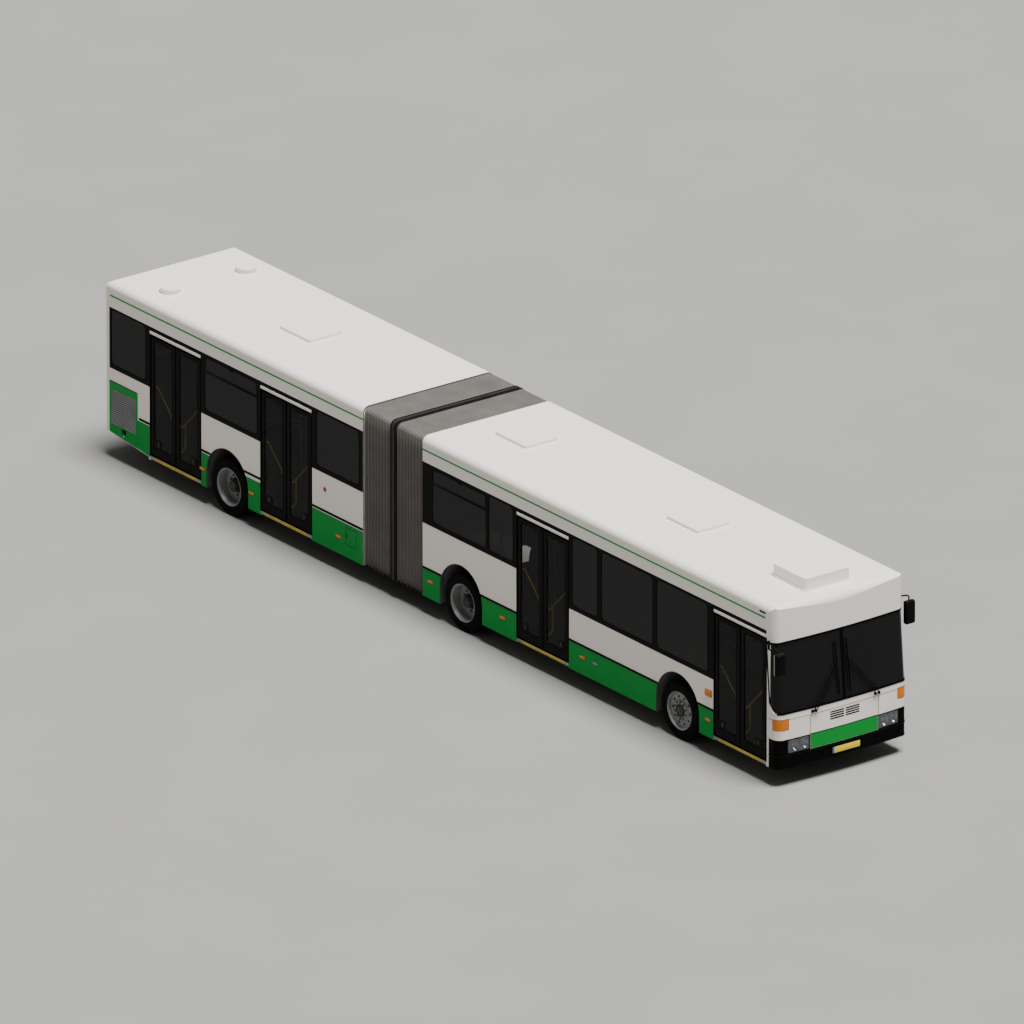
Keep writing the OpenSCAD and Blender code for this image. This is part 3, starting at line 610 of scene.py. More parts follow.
def sheet(rows, thickness):
    """A closed sheet of this thickness through rows of points."""
    shape = bmesh.new()
    grid = [[shape.verts.new(point) for point in row] for row in rows]
    for one, two in zip(grid, grid[1:]):
        for k in range(len(one) - 1):
            shape.faces.new((one[k], one[k + 1], two[k + 1], two[k]))
    bmesh.ops.recalc_face_normals(shape, faces=shape.faces)
    bmesh.ops.solidify(shape, geom=shape.faces[:], thickness=thickness)
    return finished(shape)


print("bars, tubes, turned parts and sheets ready")

# %% Join meshes into a piece that rides on a body
def assemble(name, body, parts, slot=None, stands_for=(), smooth=35, rides=True):
    """Joins (mesh, material) pairs into one piece on a CAD body."""
    joined, palette = bmesh.new(), []
    for mesh, material in parts:
        if material not in palette:
            palette.append(material)
        first = len(joined.faces)
        joined.from_mesh(mesh)
        joined.faces.ensure_lookup_table()
        for face in joined.faces[first:]:
            face.material_index = palette.index(material)
            face.smooth = True
        bpy.data.meshes.remove(mesh)
    mesh = bpy.data.meshes.new(name)
    joined.to_mesh(mesh)
    joined.free()
    for material in palette:
        mesh.materials.append(material)
    mesh.set_sharp_from_angle(angle=math.radians(smooth))
    piece = bpy.data.objects.new(name, mesh)
    scene.collection.objects.link(piece)
    if rides:
        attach(piece, body)
    if stands_for:
        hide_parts(*stands_for)
    print(f"{name}: {len(mesh.polygons)} faces on {body}")
    return piece


def on_side(side, inwards, outwards):
    """The y span of a skin on the right (-1) or left (1) side, sunk in and standing out by these depths."""
    return sorted((side * (SIDE - inwards), side * (SIDE + outwards)))


def both_sides(inwards, outwards):
    """The same span on the right side and on the left one."""
    return [on_side(side, inwards, outwards) for side in (-1, 1)]


def on_right(x0, x1, z0, z1, outwards, inwards, bevel):
    """A block on the right side of the body."""
    return block((x0, -SIDE - outwards, z0), (x1, -SIDE + inwards, z1), bevel)


def section_and_side(place):
    """The body and the side (-1 right, 1 left) that a name such as "front_right" stands for."""
    section, hand = place.split("_")
    return f"{section}_section", -1 if hand == "right" else 1


# %% [markdown]
# ## Finishes on the CAD pieces that stay
#
# Roofs, side walls, floors, axles, panes and the dashboard already have the right
# shape, so they keep their CAD mesh and only get a better material. The seat
# blocks become the hard shells that the pads are fixed to later.

# %% Give the CAD nodes their materials
cad_finish = {
    "front_sides front_roof nose rear_sides rear_roof tail": enamels["white"],
    "roof_unit hatch_1 hatch_2 hatch_3 engine_door": enamels["white"],
    "front_bumper": enamels["black"],
    "front_glass rear_glass": tinted_glass,
    "front_floor rear_floor": vinyl,
    "front_axles rear_axle turntable_base turntable_top": chassis_paint,
    "knuckle_left knuckle_right engine": cast_iron,
    "front_seats rear_seats": seat_shell,
    "dashboard": dash_skin,
    "steering_wheel": seal_rubber,
    "bellows_hoop": hoop_paint,
    " ".join(f"arm_{k}_{place}" for k in (1, 2, 3, 4) for place in ("front", "rear")): black_frame,
}
for names, material in cad_finish.items():
    for name in names.split():
        mesh = nodes[name].data
        for k in range(max(1, len(mesh.materials))):
            if k < len(mesh.materials):
                mesh.materials[k] = material
            else:
                mesh.materials.append(material)
print("finished", sum(len(names.split()) for names in cad_finish), "CAD nodes")

# %% [markdown]
# ## The black window band
#
# The side windows are bonded to the body, and a black band hides the glue line
# and the posts, so the row of panes reads as one long window. On the real body it
# is black paint and the black edge of the glass. Here it is a skin 1.5 mm thick,
# just proud of the panel, with the panes and the door openings cut out of it. It
# steps lower where the floor of the windows does.

# %% Panes and the band's outline
# each pane is its distance behind the nose, its width, and its lower and upper edge
FRONT_PANES = [
    (1.844, 1.311, 1.375, 2.525),
    (3.255, 1.330, 1.375, 2.525),
    (4.685, 0.659, 1.375, 2.530),
    (6.870, 0.635, 1.610, 2.535),
    (7.573, 1.400, 1.610, 2.505),
]
REAR_PANES = [(10.888, 1.122, 1.610, 2.535), (13.570, 1.385, 1.610, 2.505), (16.514, 0.921, 1.606, 2.540)]
FRONT_PANES_LEFT = FRONT_PANES + [(0.380, 1.340, 1.150, 2.420), (5.444, 1.330, 1.375, 2.530)]
REAR_PANES_LEFT = REAR_PANES + [(12.135, 1.340, 1.610, 2.535), (15.060, 1.340, 1.610, 2.535)]
BAND_TOP = CANT - 0.004
PROUD = 0.0015


def pane_outline(pane, grow=0.0):
    """The rounded outline of a pane, grown by a little or shrunk."""
    start, width, low, high = pane
    front = behind_nose(start)
    return rounded(front - width - grow, low - grow, front + grow, high + grow, 0.085 + grow)


def stepped(floor_line, top):
    """An outline under a straight top, over a floor line of (x from, x to, z)."""
    points = []
    for x0, x1, z in floor_line:
        points += [(x0, z), (x1, z)]
    x_first, x_last = floor_line[0][0], floor_line[-1][1]
    return [p for i, p in enumerate(points) if i == 0 or p != points[i - 1]] + [(x_last, top), (x_first, top)]


def door_edges(k):
    """The rear and the front edge of door opening k, counted from 1."""
    return DOORS[k - 1] - DOOR_HALF, DOORS[k - 1] + DOOR_HALF


DOOR_TOP = 2.445
d1, d2, d3, d4 = (door_edges(k) for k in (1, 2, 3, 4))
# the band's lower edge behind the second door, before it, and beside the driver
LOW_REAR, LOW_FRONT, LOW_DRIVER = 1.535, 1.305, 1.080
bands = {
    "front_right": (
        FRONT_PANES,
        [(front_low.x, d2[0], LOW_REAR), (*d2, DOOR_TOP), (d2[1], d1[0], LOW_FRONT), (*d1, DOOR_TOP)],
    ),
    "front_left": (
        FRONT_PANES_LEFT,
        [(front_low.x, d2[0], LOW_REAR), (d2[0], d1[0] - 0.05, LOW_FRONT), (d1[0] - 0.05, d1[1], LOW_DRIVER)],
    ),
    "rear_right": (
        REAR_PANES,
        [
            (rear_low.x, d4[0], LOW_REAR),
            (*d4, DOOR_TOP),
            (d4[1], d3[0], LOW_REAR),
            (*d3, DOOR_TOP),
            (d3[1], rear_high.x, LOW_REAR),
        ],
    ),
    "rear_left": (REAR_PANES_LEFT, [(rear_low.x, rear_high.x, LOW_REAR)]),
}
for place, (panes, floor_line) in bands.items():
    body, side = section_and_side(place)
    skin = plate(
        stepped(floor_line, BAND_TOP), [pane_outline(p) for p in panes], *on_side(side, 0.0005, PROUD)
    )
    parts = [(skin, enamels["black"])]
    for pane in panes:
        lip = plate(pane_outline(pane, 0.008), [pane_outline(pane, -0.006)], *on_side(side, 0.0031, 0.003))
        parts.append((lip, seal_rubber))
    assemble(f"window_band_{place}", body, parts)

# %% [markdown]
# ## Opening top lights
#
# Two windows on each side have a hopper, a shallow top light that tips inwards.
# From outside it shows as a black bar across the glass and a small catch at the
# top. The bar is an extruded aluminium section, so it gets a slightly rounded
# face.

# %% Hopper bars and catches
BAR_LOW, BAR_HIGH, POST = 2.245, 2.285, 0.018
for body, (start, width, _, high) in (("front_section", FRONT_PANES[4]), ("rear_section", REAR_PANES[1])):
    parts = []
    x1 = behind_nose(start)
    x0 = x1 - width
    middle = (x0 + x1) / 2
    for y0, y1 in both_sides(0.0035, 0.004):
        for a, b, z0, z1, bevel in (
            (x0, x1, BAR_LOW, BAR_HIGH, 0.002),
            (middle - 0.055, middle + 0.055, high - 0.035, high - 0.004, 0.003),
            (x0, x0 + POST, BAR_HIGH - 0.005, high - 0.03, 0.002),
            (x1 - POST, x1, BAR_HIGH - 0.005, high - 0.03, 0.002),
        ):
            parts.append((block((a, y0, z0), (b, y1, z1), bevel), black_frame))
    assemble(f"hopper_bars_{body}", body, parts)

# %% [markdown]
# ## Green skirt and rub rail
#
# Below the waist the body is green. The skirt is broken by the doors and by the
# wheel arches, whose round cut-outs have to run exactly along the CAD's. Above it
# lies a black rubber rub rail that takes the scrapes. Its face is half round, so
# it catches a thin line of light along its top.

# %% Skirt outlines
ARCH_Z = ARCH_TOP - ARCH_R


def arch_points(x, z, rising):
    """A wheel arch's edge from its axle up to height z, on its front side (rising) or its rear one."""
    limit = math.asin(max(0.0, min(1.0, (z - ARCH_Z) / ARCH_R)))
    sign = 1 if rising else -1
    angles = [limit * k / 14 for k in range(15)]
    return [(x + sign * ARCH_R * math.cos(a), ARCH_Z + ARCH_R * math.sin(a)) for a in angles]


def skirt(x0, x1, top, behind=None, ahead=None, low=SKIRT, low_rear=None):
    """A skirt panel from x0 to x1, cut out for an arch at its rear end (behind) or its front end (ahead)."""
    points = [(x0, low if low_rear is None else low_rear), (x1, low)]
    points += [(x1, top)] if ahead is None else arch_points(ahead, top, False)
    points += [(x0, top)] if behind is None else arch_points(behind, top, True)[::-1]
    return points


FRONT_TOP, REAR_TOP = 0.765, 0.865
# the lower edge rises behind the last axle: under the last door, at the intake panel and at the tail
DOOR_RISE, PANEL_RISE, TAIL_RISE = 0.345, 0.3835, 0.4532
fa, ma, ra = (AXLES[place] for place in ("front", "middle", "rear"))
panel_front = behind_nose(16.735)
skirts = {
    "front_right": [
        skirt(front_low.x, ma - ARCH_R, FRONT_TOP, ahead=ma),
        skirt(ma + ARCH_R, d2[0], FRONT_TOP, behind=ma),
        skirt(d2[1], fa - ARCH_R, FRONT_TOP, ahead=fa),
        skirt(fa + ARCH_R, d1[0], FRONT_TOP, behind=fa),
    ],
    "front_left": [
        skirt(front_low.x, ma - ARCH_R, FRONT_TOP, ahead=ma),
        skirt(ma + ARCH_R, fa - ARCH_R, FRONT_TOP, behind=ma, ahead=fa),
        skirt(fa + ARCH_R, d1[1], FRONT_TOP, behind=fa),
    ],
    "rear_right": [
        skirt(panel_front, d4[0], REAR_TOP, low=DOOR_RISE, low_rear=PANEL_RISE),
        skirt(d4[1], ra - ARCH_R, REAR_TOP, ahead=ra),
        skirt(ra + ARCH_R, d3[0], REAR_TOP - 0.035, behind=ra),
        skirt(d3[1], rear_high.x, REAR_TOP),
    ],
    "rear_left": [
        skirt(rear_low.x, d4[0], REAR_TOP, low=DOOR_RISE, low_rear=TAIL_RISE),
        skirt(d4[0], ra - ARCH_R, REAR_TOP, ahead=ra, low=DOOR_RISE),
        skirt(ra + ARCH_R, rear_high.x, REAR_TOP, behind=ra),
    ],
}
for place, outlines in skirts.items():
    body, side = section_and_side(place)
    span = on_side(side, 0.0005, PROUD)
    assemble(f"green_skirt_{place}", body, [(plate(o, [], *span), enamels["green"]) for o in outlines])

# %% Rub rails
FRONT_RAIL, REAR_RAIL = (0.768, 0.805), (0.882, 0.922)
# half the width of each arch at the height of its rail
fa_gap, ma_gap, ra_gap = 0.508, 0.504, 0.438
rails = {
    "front_right": [
        (front_low.x, ma - ma_gap), (ma + ma_gap, d2[0]), (d2[1], fa - fa_gap), (fa + fa_gap, d1[0])
    ],
    "front_left": [(front_low.x, ma - ma_gap), (ma + ma_gap, fa - fa_gap), (fa + fa_gap, d1[1])],
    "rear_right": [
        (panel_front + 0.035, d4[0]), (d4[1], ra - ra_gap), (ra + ra_gap, d3[0]), (d3[1], rear_high.x)
    ],
    "rear_left": [(rear_low.x, ra - ra_gap), (ra + ra_gap, rear_high.x)],
}
for place, spans in rails.items():
    body, side = section_and_side(place)
    low, high = FRONT_RAIL if body == "front_section" else REAR_RAIL
    y0, y1 = on_side(side, 0.001, 0.007)
    strips = [block((a + 0.002, y0, low), (b - 0.002, y1, high), 0.006, 3) for a, b in spans]
    assemble(f"rub_rail_{place}", body, [(strip, seal_rubber) for strip in strips])

# %% [markdown]
# ## Wheel arch edging and the roof stripe
#
# A grey plastic liner 50 mm deep follows the cut edge of each wheel arch, and a
# thin rubber lip covers the raw edge of the panel and stands a little proud. High
# up, a green stripe 28 mm wide runs along both sides of the roof, but not over the
# bellows.

# %% Arch edging
def arch_ring(x, low, inner, outer):
    """A strip that follows a wheel arch between two radii."""
    angles = [math.radians(180 * k / 36) for k in range(37)]
    out, back = ([(x + r * math.cos(a), ARCH_Z + r * math.sin(a)) for a in angles] for r in (outer, inner))
    return [(x + outer, low)] + out + [(x - outer, low), (x - inner, low)] + back[::-1] + [(x + inner, low)]


# depth in, depth out, how far inside and outside the cut edge, material
LINER, LIP = (0.052, 0.003, 0.004, 0.0005, arch_liner), (0.001, 0.004, 0.002, 0.004, seal_rubber)
for body, axles in (("front_section", (ma, fa)), ("rear_section", (ra,))):
    parts = []
    for x in axles:
        for inwards, outwards, inside, outside, material in (LINER, LIP):
            ring = arch_ring(x, SKIRT, ARCH_R - inside, ARCH_R + outside)
            parts += [(plate(ring, [], *span), material) for span in both_sides(inwards, outwards)]
    assemble(f"arch_edging_{body}", body, parts)

# %% Roof stripes
STRIPE_LOW, STRIPE_HIGH = 2.753, 2.781
stripe_ends = {
    "front_section": (front_low.x, behind_nose(0.37)),
    "rear_section": (behind_nose(17.46), rear_high.x),
}
for body, (x0, x1) in stripe_ends.items():
    stripes = [
        block((x0, y0, STRIPE_LOW), (x1, y1, STRIPE_HIGH), 0.0) for y0, y1 in both_sides(0.0005, PROUD)
    ]
    assemble(f"roof_stripe_{body}", body, [(stripe, enamels["green"]) for stripe in stripes])

# %% [markdown]
# ## Small things along the sides
#
# Over each door runs a white drip strip, and a black rubber surround lines its
# jambs. Under each door the step edge is trimmed in anti-slip yellow with plain
# metal ends. Orange reflectors, a side indicator and a few covers break up the
# skirt. Both sides get the reflectors, and only the right side has doors.

# %% Drip strips and step edges
for body, ks in (("front_section", (1, 2)), ("rear_section", (3, 4))):
    parts = []
    for x0, x1 in map(door_edges, ks):
        parts.append((on_right(x0, x1, 2.449, 2.499, 0.008, 0.001, 0.004), enamels["white"]))
        parts.append((on_right(x0 + 0.004, x1 - 0.004, 0.318, 0.373, -0.0005, 0.0045, 0.001), step_grey))
        parts.append((on_right(x0 + 0.125, x1 - 0.125, 0.320, 0.372, 0.001, 0.003, 0.001), sill_yellow))
        # the rubber surround
        outer = rounded(x0 - 0.014, 0.375, x1 + 0.014, DOOR_TOP + 0.002)
        hole = rounded(x0 + 0.0015, 0.378, x1 - 0.0015, DOOR_TOP - 0.0015)
        parts.append((plate(outer, [hole], -SIDE - 0.0022, -SIDE + 0.048), seal_rubber))
    assemble(f"door_trim_{body}", body, parts)

# %% Reflectors, side indicators and covers
def reflector_at(side, x, z, length, height, material, proud=0.010):
    """A lens on a thin rubber base on the side of the body."""
    parts = []
    for margin, outwards, bevel, segments, stuff in (
        (0.0, proud, 0.005, 3, material),
        (0.006, 0.004, 0.002, 2, seal_rubber),
    ):
        y0, y1 = on_side(side, 0.001, outwards)
        dx, dz = length / 2 + margin, height / 2 + margin
        parts.append((block((x - dx, y0, z - dz), (x + dx, y1, z + dz), bevel, segments), stuff))
    return parts


REFLEX_Z = 0.590
reflex = {"front_section": (9.020, 7.135, 5.065, 1.830), "rear_section": (15.020, 13.720, 11.425)}
for body, distances in reflex.items():
    parts = []
    for side in (-1, 1):
        for distance in distances:
            parts += reflector_at(side, behind_nose(distance), REFLEX_Z, 0.125, 0.048, amber_lens)
    if body == "front_section":
        for side in (-1, 1):
            parts += reflector_at(side, behind_nose(1.820), 1.040, 0.155, 0.100, amber_lens, 0.022)
        parts += reflector_at(-1, behind_nose(4.737), REFLEX_Z, 0.110, 0.040, intake_grey)
        cover = on_right(behind_nose(0.51), behind_nose(0.36), 2.832, 2.858, 0.010, 0.001, 0.004)
        parts.append((cover, black_abs))
    else:
        button = [(0.0, 0.012), (0.030, 0.012), (0.036, 0.008), (0.040, 0.0), (0.040, -0.001)]
        parts.append((turned(button, (behind_nose(11.788), -SIDE, 1.268), (0, -1, 0), 32), red_lens))
        # the fuel flap: a dark gap round a small door, with a handle
        x0, x1 = behind_nose(11.24), behind_nose(10.95)
        gap = plate(*border(x0, 0.510, x1, 0.815, 0.02, 0.008, 0.014), -SIDE - 0.0022, -SIDE)
        parts.append((gap, seal_rubber))
        parts.append((on_right(x0 + 0.012, x0 + 0.030, 0.64, 0.69, 0.010, 0.0, 0.004), black_abs))
    assemble(f"reflectors_{body}", body, parts)

# %% [markdown]
# ## Engine-side panel and air intake
#
# Behind the last door on the right the green panel is higher and stands out 6 mm.
# It holds the radiator intake: slats of galvanised steel in a frame. The slats are
# tilted, so each one shades the next.

# %% Air intake panel
PANEL_TOP, SLATS = 1.318, 16
px0, px1 = rear_low.x + 0.0005, panel_front
panel = [(px0, TAIL_RISE), (px1, PANEL_RISE), (px1, PANEL_TOP), (px0, PANEL_TOP)]
gx0, gx1, gz0, gz1 = behind_nose(17.435), behind_nose(16.780), 0.606, 1.197
parts = [
    (plate(panel, [rounded(gx0, gz0, gx1, gz1, 0.01)], -SIDE - 0.006, -SIDE + 0.0005), enamels["green"]),
    (on_right(px0, px1 - 0.004, PANEL_TOP - 0.002, PANEL_TOP + 0.008, 0.007, 0.0, 0.0), seal_rubber),
    (on_right(gx0, gx1, gz0, gz1, 0.0005, 0.0015, 0.0), chassis_paint),
]
for k in range(SLATS):
    z = gz0 + (gz1 - gz0) * (k + 0.5) / SLATS
    slat = block((gx0, -0.0015, -0.0130), (gx1, 0.0015, 0.0130), 0.001)
    slat.transform(Matrix.Translation((0, -SIDE - 0.0015, z)) @ Matrix.Rotation(math.radians(-18), 4, "X"))
    parts.append((slat, intake_grey))
# a latch and a lock under the slats
parts.append(
    (on_right(behind_nose(17.146), behind_nose(17.040), 0.512, 0.585, 0.016, -0.004, 0.006), black_abs)
)
lock = [(0.0, 0.010), (0.012, 0.010), (0.014, 0.0)]
parts.append((turned(lock, (behind_nose(17.093), -SIDE - 0.008, 0.475), (0, -1, 0), 20), bright_steel))
assemble("air_intake_panel", "rear_section", parts)

# %% [markdown]
# ## Bending flat pieces round the nose
#
# The nose is slightly bowed in plan and turns into the sides through corners of
# 150 mm. Everything on it follows that line: windscreen seal, seams, lamps and the
# green panel. Each is drawn flat first, with x as the distance along the skin from
# the middle, cut into narrow strips, and then bent. Above the sill the skin leans
# back with the windscreen.

# %% The nose in plan
BOW, CORNER, LEAN = 14.0, 0.150, 0.100
SCREEN_LOW, SCREEN_HIGH = 1.225, 2.380
corner_x, corner_y = NOSE - 0.041 - CORNER, SIDE - CORNER
line = [
    (NOSE - BOW + math.sqrt(BOW**2 - y * y), y, math.asin(y / BOW)) for y in [0.03 * k for k in range(38)]
]
for degrees in range(12, 91, 6):
    a = math.radians(degrees)
    line.append((corner_x + CORNER * math.cos(a), corner_y + CORNER * math.sin(a), a))
SIDE_STEPS = 7
line += [(corner_x - 0.02 * k, SIDE, math.pi / 2) for k in range(1, SIDE_STEPS + 1)]
along = [0.0]
for (xa, ya, _), (xb, yb, _) in zip(line, line[1:]):
    along.append(along[-1] + math.hypot(xb - xa, yb - ya))


def skin_point(s, out, z):
    """A point s along the nose from the middle (+ to the left), `out` proud of it, at height z."""
    distance = min(abs(s), along[-1] - 1e-6)
    k = next(i for i in range(len(along) - 1) if along[i + 1] > distance)
    t = (distance - along[k]) / (along[k + 1] - along[k])
    (xa, ya, aa), (xb, yb, ab) = line[k], line[k + 1]
    angle = aa + (ab - aa) * t
    x, y = xa + (xb - xa) * t + out * math.cos(angle), ya + (yb - ya) * t + out * math.sin(angle)
    leaning = min(max((z - SCREEN_LOW) / (SCREEN_HIGH - SCREEN_LOW), 0.0), 1.0)
    return Vector((x - LEAN * leaning, math.copysign(y, s) if s else y, z))


def wrapped(mesh):
    """Bends a flat mesh, x along the skin and y outwards, round the nose."""
    shape = bmesh.new()
    shape.from_mesh(mesh)
    bpy.data.meshes.remove(mesh)
    reach_s = [v.co.x for v in shape.verts]
    stations = [sign * v for v in along[1:] for sign in (-1, 1)]
    cuts = [((s, 0, 0), (1, 0, 0)) for s in stations if min(reach_s) < s < max(reach_s)]
    cuts += [((0, 0, z), (0, 0, 1)) for z in (SCREEN_LOW, SCREEN_HIGH)]
    for point, normal in cuts:
        everything = shape.verts[:] + shape.edges[:] + shape.faces[:]
        bmesh.ops.bisect_plane(shape, geom=everything, plane_co=point, plane_no=normal, dist=1e-5)
    for v in shape.verts:
        v.co = skin_point(v.co.x, v.co.y, v.co.z)
    return finished(shape)


def on_nose(outer, holes, out0, out1):
    """A plate drawn flat as (s, z) and laid on the nose, from out0 to out1 proud of it."""
    return wrapped(plate(outer, holes, out0, out1))


def at_side(x):
    """The distance along the skin of the point on the body's side at this x."""
    return along[-1 - SIDE_STEPS] + (corner_x - x)


print("half the nose is", round(along[-1], 3), "m along the skin")

# %% [markdown]
# ## Nose: green panel, seams, slots and bumper
#
# The lower panel between the headlamps is green. A seam runs across the nose under
# the windscreen, and two upright seams show that the middle is a service flap. Two
# groups of four slots let air into the heater. The bumper is glass fibre with a
# step where its lip starts.

# %% Nose trim
PANEL_Z, SEAM_Z = (0.545, 0.786), 1.112
seam_end = at_side(8.335)
parts = [
    (on_nose(rounded(-0.660, PANEL_Z[0], 0.665, PANEL_Z[1]), [], -0.0005, 0.0025), enamels["green"]),
    (on_nose(rounded(-0.662, PANEL_Z[1], 0.667, PANEL_Z[1] + 0.012), [], -0.001, 0.0035), seal_rubber),
    (on_nose(rounded(-seam_end, SEAM_Z, seam_end, SEAM_Z + 0.006), [], -0.001, 0.0012), seal_rubber),
]
for s in (-0.662, 0.667):
    parts.append((on_nose(rounded(s - 0.004, 0.79, s + 0.004, 1.113), [], -0.001, 0.0015), seal_rubber))
for s in (-0.285, 0.015):
    for z in (0.950, 0.988, 1.026, 1.064):
        slot = rounded(s, z - 0.012, s + 0.275, z + 0.012, 0.011)
        parts.append((on_nose(slot, [], -0.001, 0.0012), seal_rubber))
assemble("nose_trim", "front_section", parts)

bumper_end = at_side(8.348)
parts = []
for z0, z1, proud in ((0.505, 0.530, 0.008), (0.302, 0.322, 0.005)):
    parts.append((on_nose(rounded(-bumper_end, z0, bumper_end, z1, 0.004), [], -0.001, proud), black_abs))
for s0, s1 in ((-0.662, -0.650), (0.655, 0.667)):
    parts.append((on_nose(rounded(s0, 0.53, s1, PANEL_Z[1]), [], -0.001, 0.003), step_grey))
# the number plate, its blue end and its frame
PLATE_Z, FRAME_Z = (0.362, 0.472), (0.357, 0.477)
for y0, y1, material in ((-0.205, 0.300, plate_yellow), (-0.245, -0.205, plate_blue)):
    parts.append((block((NOSE - 0.006, y0, PLATE_Z[0]), (NOSE + 0.004, y1, PLATE_Z[1]), 0.002), material))
plate_frame = plate(*border(-0.250, FRAME_Z[0], 0.305, FRAME_Z[1], 0.006, 0.007, 0.004), -0.003, 0.003)
plate_frame.transform(Matrix.Translation((NOSE + 0.003, 0, 0)) @ Matrix.Rotation(math.radians(90), 4, "Z"))
parts.append((plate_frame, black_abs))
assemble("bumper_trim", "front_section", parts)

# %% [markdown]
# ## Windscreen seal and wipers
#
# The two panes sit in a black rubber seal with a bar over the middle post. Its
# lower outer corners are round, so small white fillets close the corners of the
# opening. Each wiper is a pantograph: two parallel arms keep the blade upright as
# it sweeps.

# %% Windscreen seal
SILL, FILLET = 1.240, 0.13
screen_end = at_side(8.378)
outer = rounded(-screen_end - 0.012, 1.212, screen_end + 0.012, 2.394, 0.02)
edges = ((-screen_end + 0.018, -0.026), (0.026, screen_end - 0.018))
panes = [rounded(s0, SILL + 0.006, s1, 2.362, 0.05) for s0, s1 in edges]
parts = [(on_nose(outer, panes, -0.006, 0.005), seal_rubber)]
for sign in (-1, 1):
    # a white fillet in each lower corner
    edge = screen_end - 0.012
    angles = [math.radians(-90 + 9 * k) for k in range(11)]
    arc = [(edge - FILLET + FILLET * math.cos(a), SILL + FILLET + FILLET * math.sin(a)) for a in angles]
    arc += [(screen_end + 0.010, SILL + FILLET), (screen_end + 0.010, 1.214), (edge - FILLET, 1.214)]
    parts.append((on_nose([(sign * s, z) for s, z in arc], [], -0.003, 0.0052), enamels["white"]))
assemble("windscreen_seal", "front_section", parts)

# %% Wipers
BLADE_Z, PIVOT_Z, BLADE_SLOPE = (1.33, 1.55, 1.77, 2.0, 2.2), 1.165, 0.05
cap = [(0.0, 0.036), (0.018, 0.034), (0.024, 0.020), (0.026, -0.002)]
parts = []
for blade_s, pivots in ((-0.115, (-0.565, -0.625)), (0.105, (0.600, 0.672))):

    def at_blade(out, z):
        """A point beside the blade at height z."""
        return skin_point(blade_s - BLADE_SLOPE * (z - BLADE_Z[0]), out, z)

    blade = [at_blade(0.022, z) for z in BLADE_Z]
    parts.append((tube(blade, 0.007), seal_rubber))
    parts.append((tube([p + Vector((0.014, 0, 0)) for p in blade], 0.006), black_frame))
    for pivot, joint_z in zip(pivots, (1.79, 1.88)):
        foot = skin_point(pivot, 0.010, PIVOT_Z) + Vector((0.02, 0, 0))
        knee = skin_point(pivot * 0.90, 0.045, PIVOT_Z + 0.100)
        parts.append((tube([foot, knee, at_blade(0.040, joint_z)], 0.0065), black_frame))
        parts.append((turned(cap, skin_point(pivot, 0.0, PIVOT_Z), (1, 0, 0), 24), black_abs))
assemble("wipers", "front_section", parts)

# %% [markdown]
# ## Headlamps and corner indicators
#
# Each headlamp is a black housing with two aluminised bowls behind a clear fluted
# cover that follows the bumper's curve. The amber indicators wrap round the
# corners higher up. Together they stand for the CAD's lamp blocks.

# %% Headlamps and indicators
LAMP_LOW, LAMP_HIGH = 0.550, 0.776
lamp_middle = (LAMP_LOW + LAMP_HIGH) / 2
bowl = [
    (0.0, -0.085),
    (0.030, -0.078),
    (0.060, -0.055),
    (0.082, -0.022),
    (0.090, -0.012),
    (0.096, -0.012),
    (0.096, -0.03),
]
bulb = [(0.0, -0.030), (0.012, -0.034), (0.014, -0.075)]
parts = []
for sign in (-1, 1):
    s0, s1 = sorted((sign * 0.673, sign * 1.078))
    parts.append((on_nose(rounded(s0, LAMP_LOW, s1, LAMP_HIGH), [], -0.120, -0.104), black_abs))
    housing = border(s0, LAMP_LOW, s1, LAMP_HIGH, 0.01, 0.012, 0.02)
    parts.append((on_nose(*housing, -0.106, -0.004), black_abs))
    for s in (0.775, 0.965):
        middle = skin_point(sign * s, 0.0, lamp_middle)
        parts.append((turned(bowl, middle, (1, 0, 0), 40), reflector))
        parts.append((turned(bulb, middle, (1, 0, 0), 20), bright_steel))
    cover = rounded(s0 + 0.002, LAMP_LOW + 0.002, s1 - 0.002, LAMP_HIGH - 0.002, 0.02)
    parts.append((on_nose(cover, [], -0.010, -0.002), clear_lens))
    s0, s1 = sorted((sign * 1.068, sign * at_side(8.447)))
    parts.append((on_nose(rounded(s0, 0.958, s1, 1.127, 0.008), [], -0.030, 0.004), amber_lens))
    surround = border(s0 - 0.008, 0.950, s1 + 0.008, 1.135, 0.012, 0.009, 0.007)
    parts.append((on_nose(*surround, -0.010, 0.002), seal_rubber))
assemble("front_lamp_units", "front_section", parts, slot="lamp_clear", stands_for=("front_lamps",))

# %% [markdown]
# ## Mirrors
#
# Big upright mirrors hang on tubular arms so that the driver can see the whole
# side. Each head is a moulded housing with generously rounded edges and a flat
# glass at the back. The heads and arm ends sit where the CAD puts them.

# %% Mirrors
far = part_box("mirrors")[1]
HEAD_W = 0.190
heads = (
    ((far.x - 0.110, -far.y, 2.060), (far.x, -far.y + HEAD_W, 2.430)),
    ((NOSE - 0.370, far.y - HEAD_W, 2.020), (NOSE - 0.270, far.y, 2.410)),
)
parts = []
for (x0, y0, z0), (x1, y1, z1) in heads:
    parts.append((block((x0 + 0.012, y0, z0), (x1, y1, z1), 0.032, 4), black_abs))
    glass = block((x0 + 0.004, y0 + 0.014, z0 + 0.014), (x0 + 0.014, y1 - 0.014, z1 - 0.014), 0.004)
    parts.append((glass, mirror_glass))
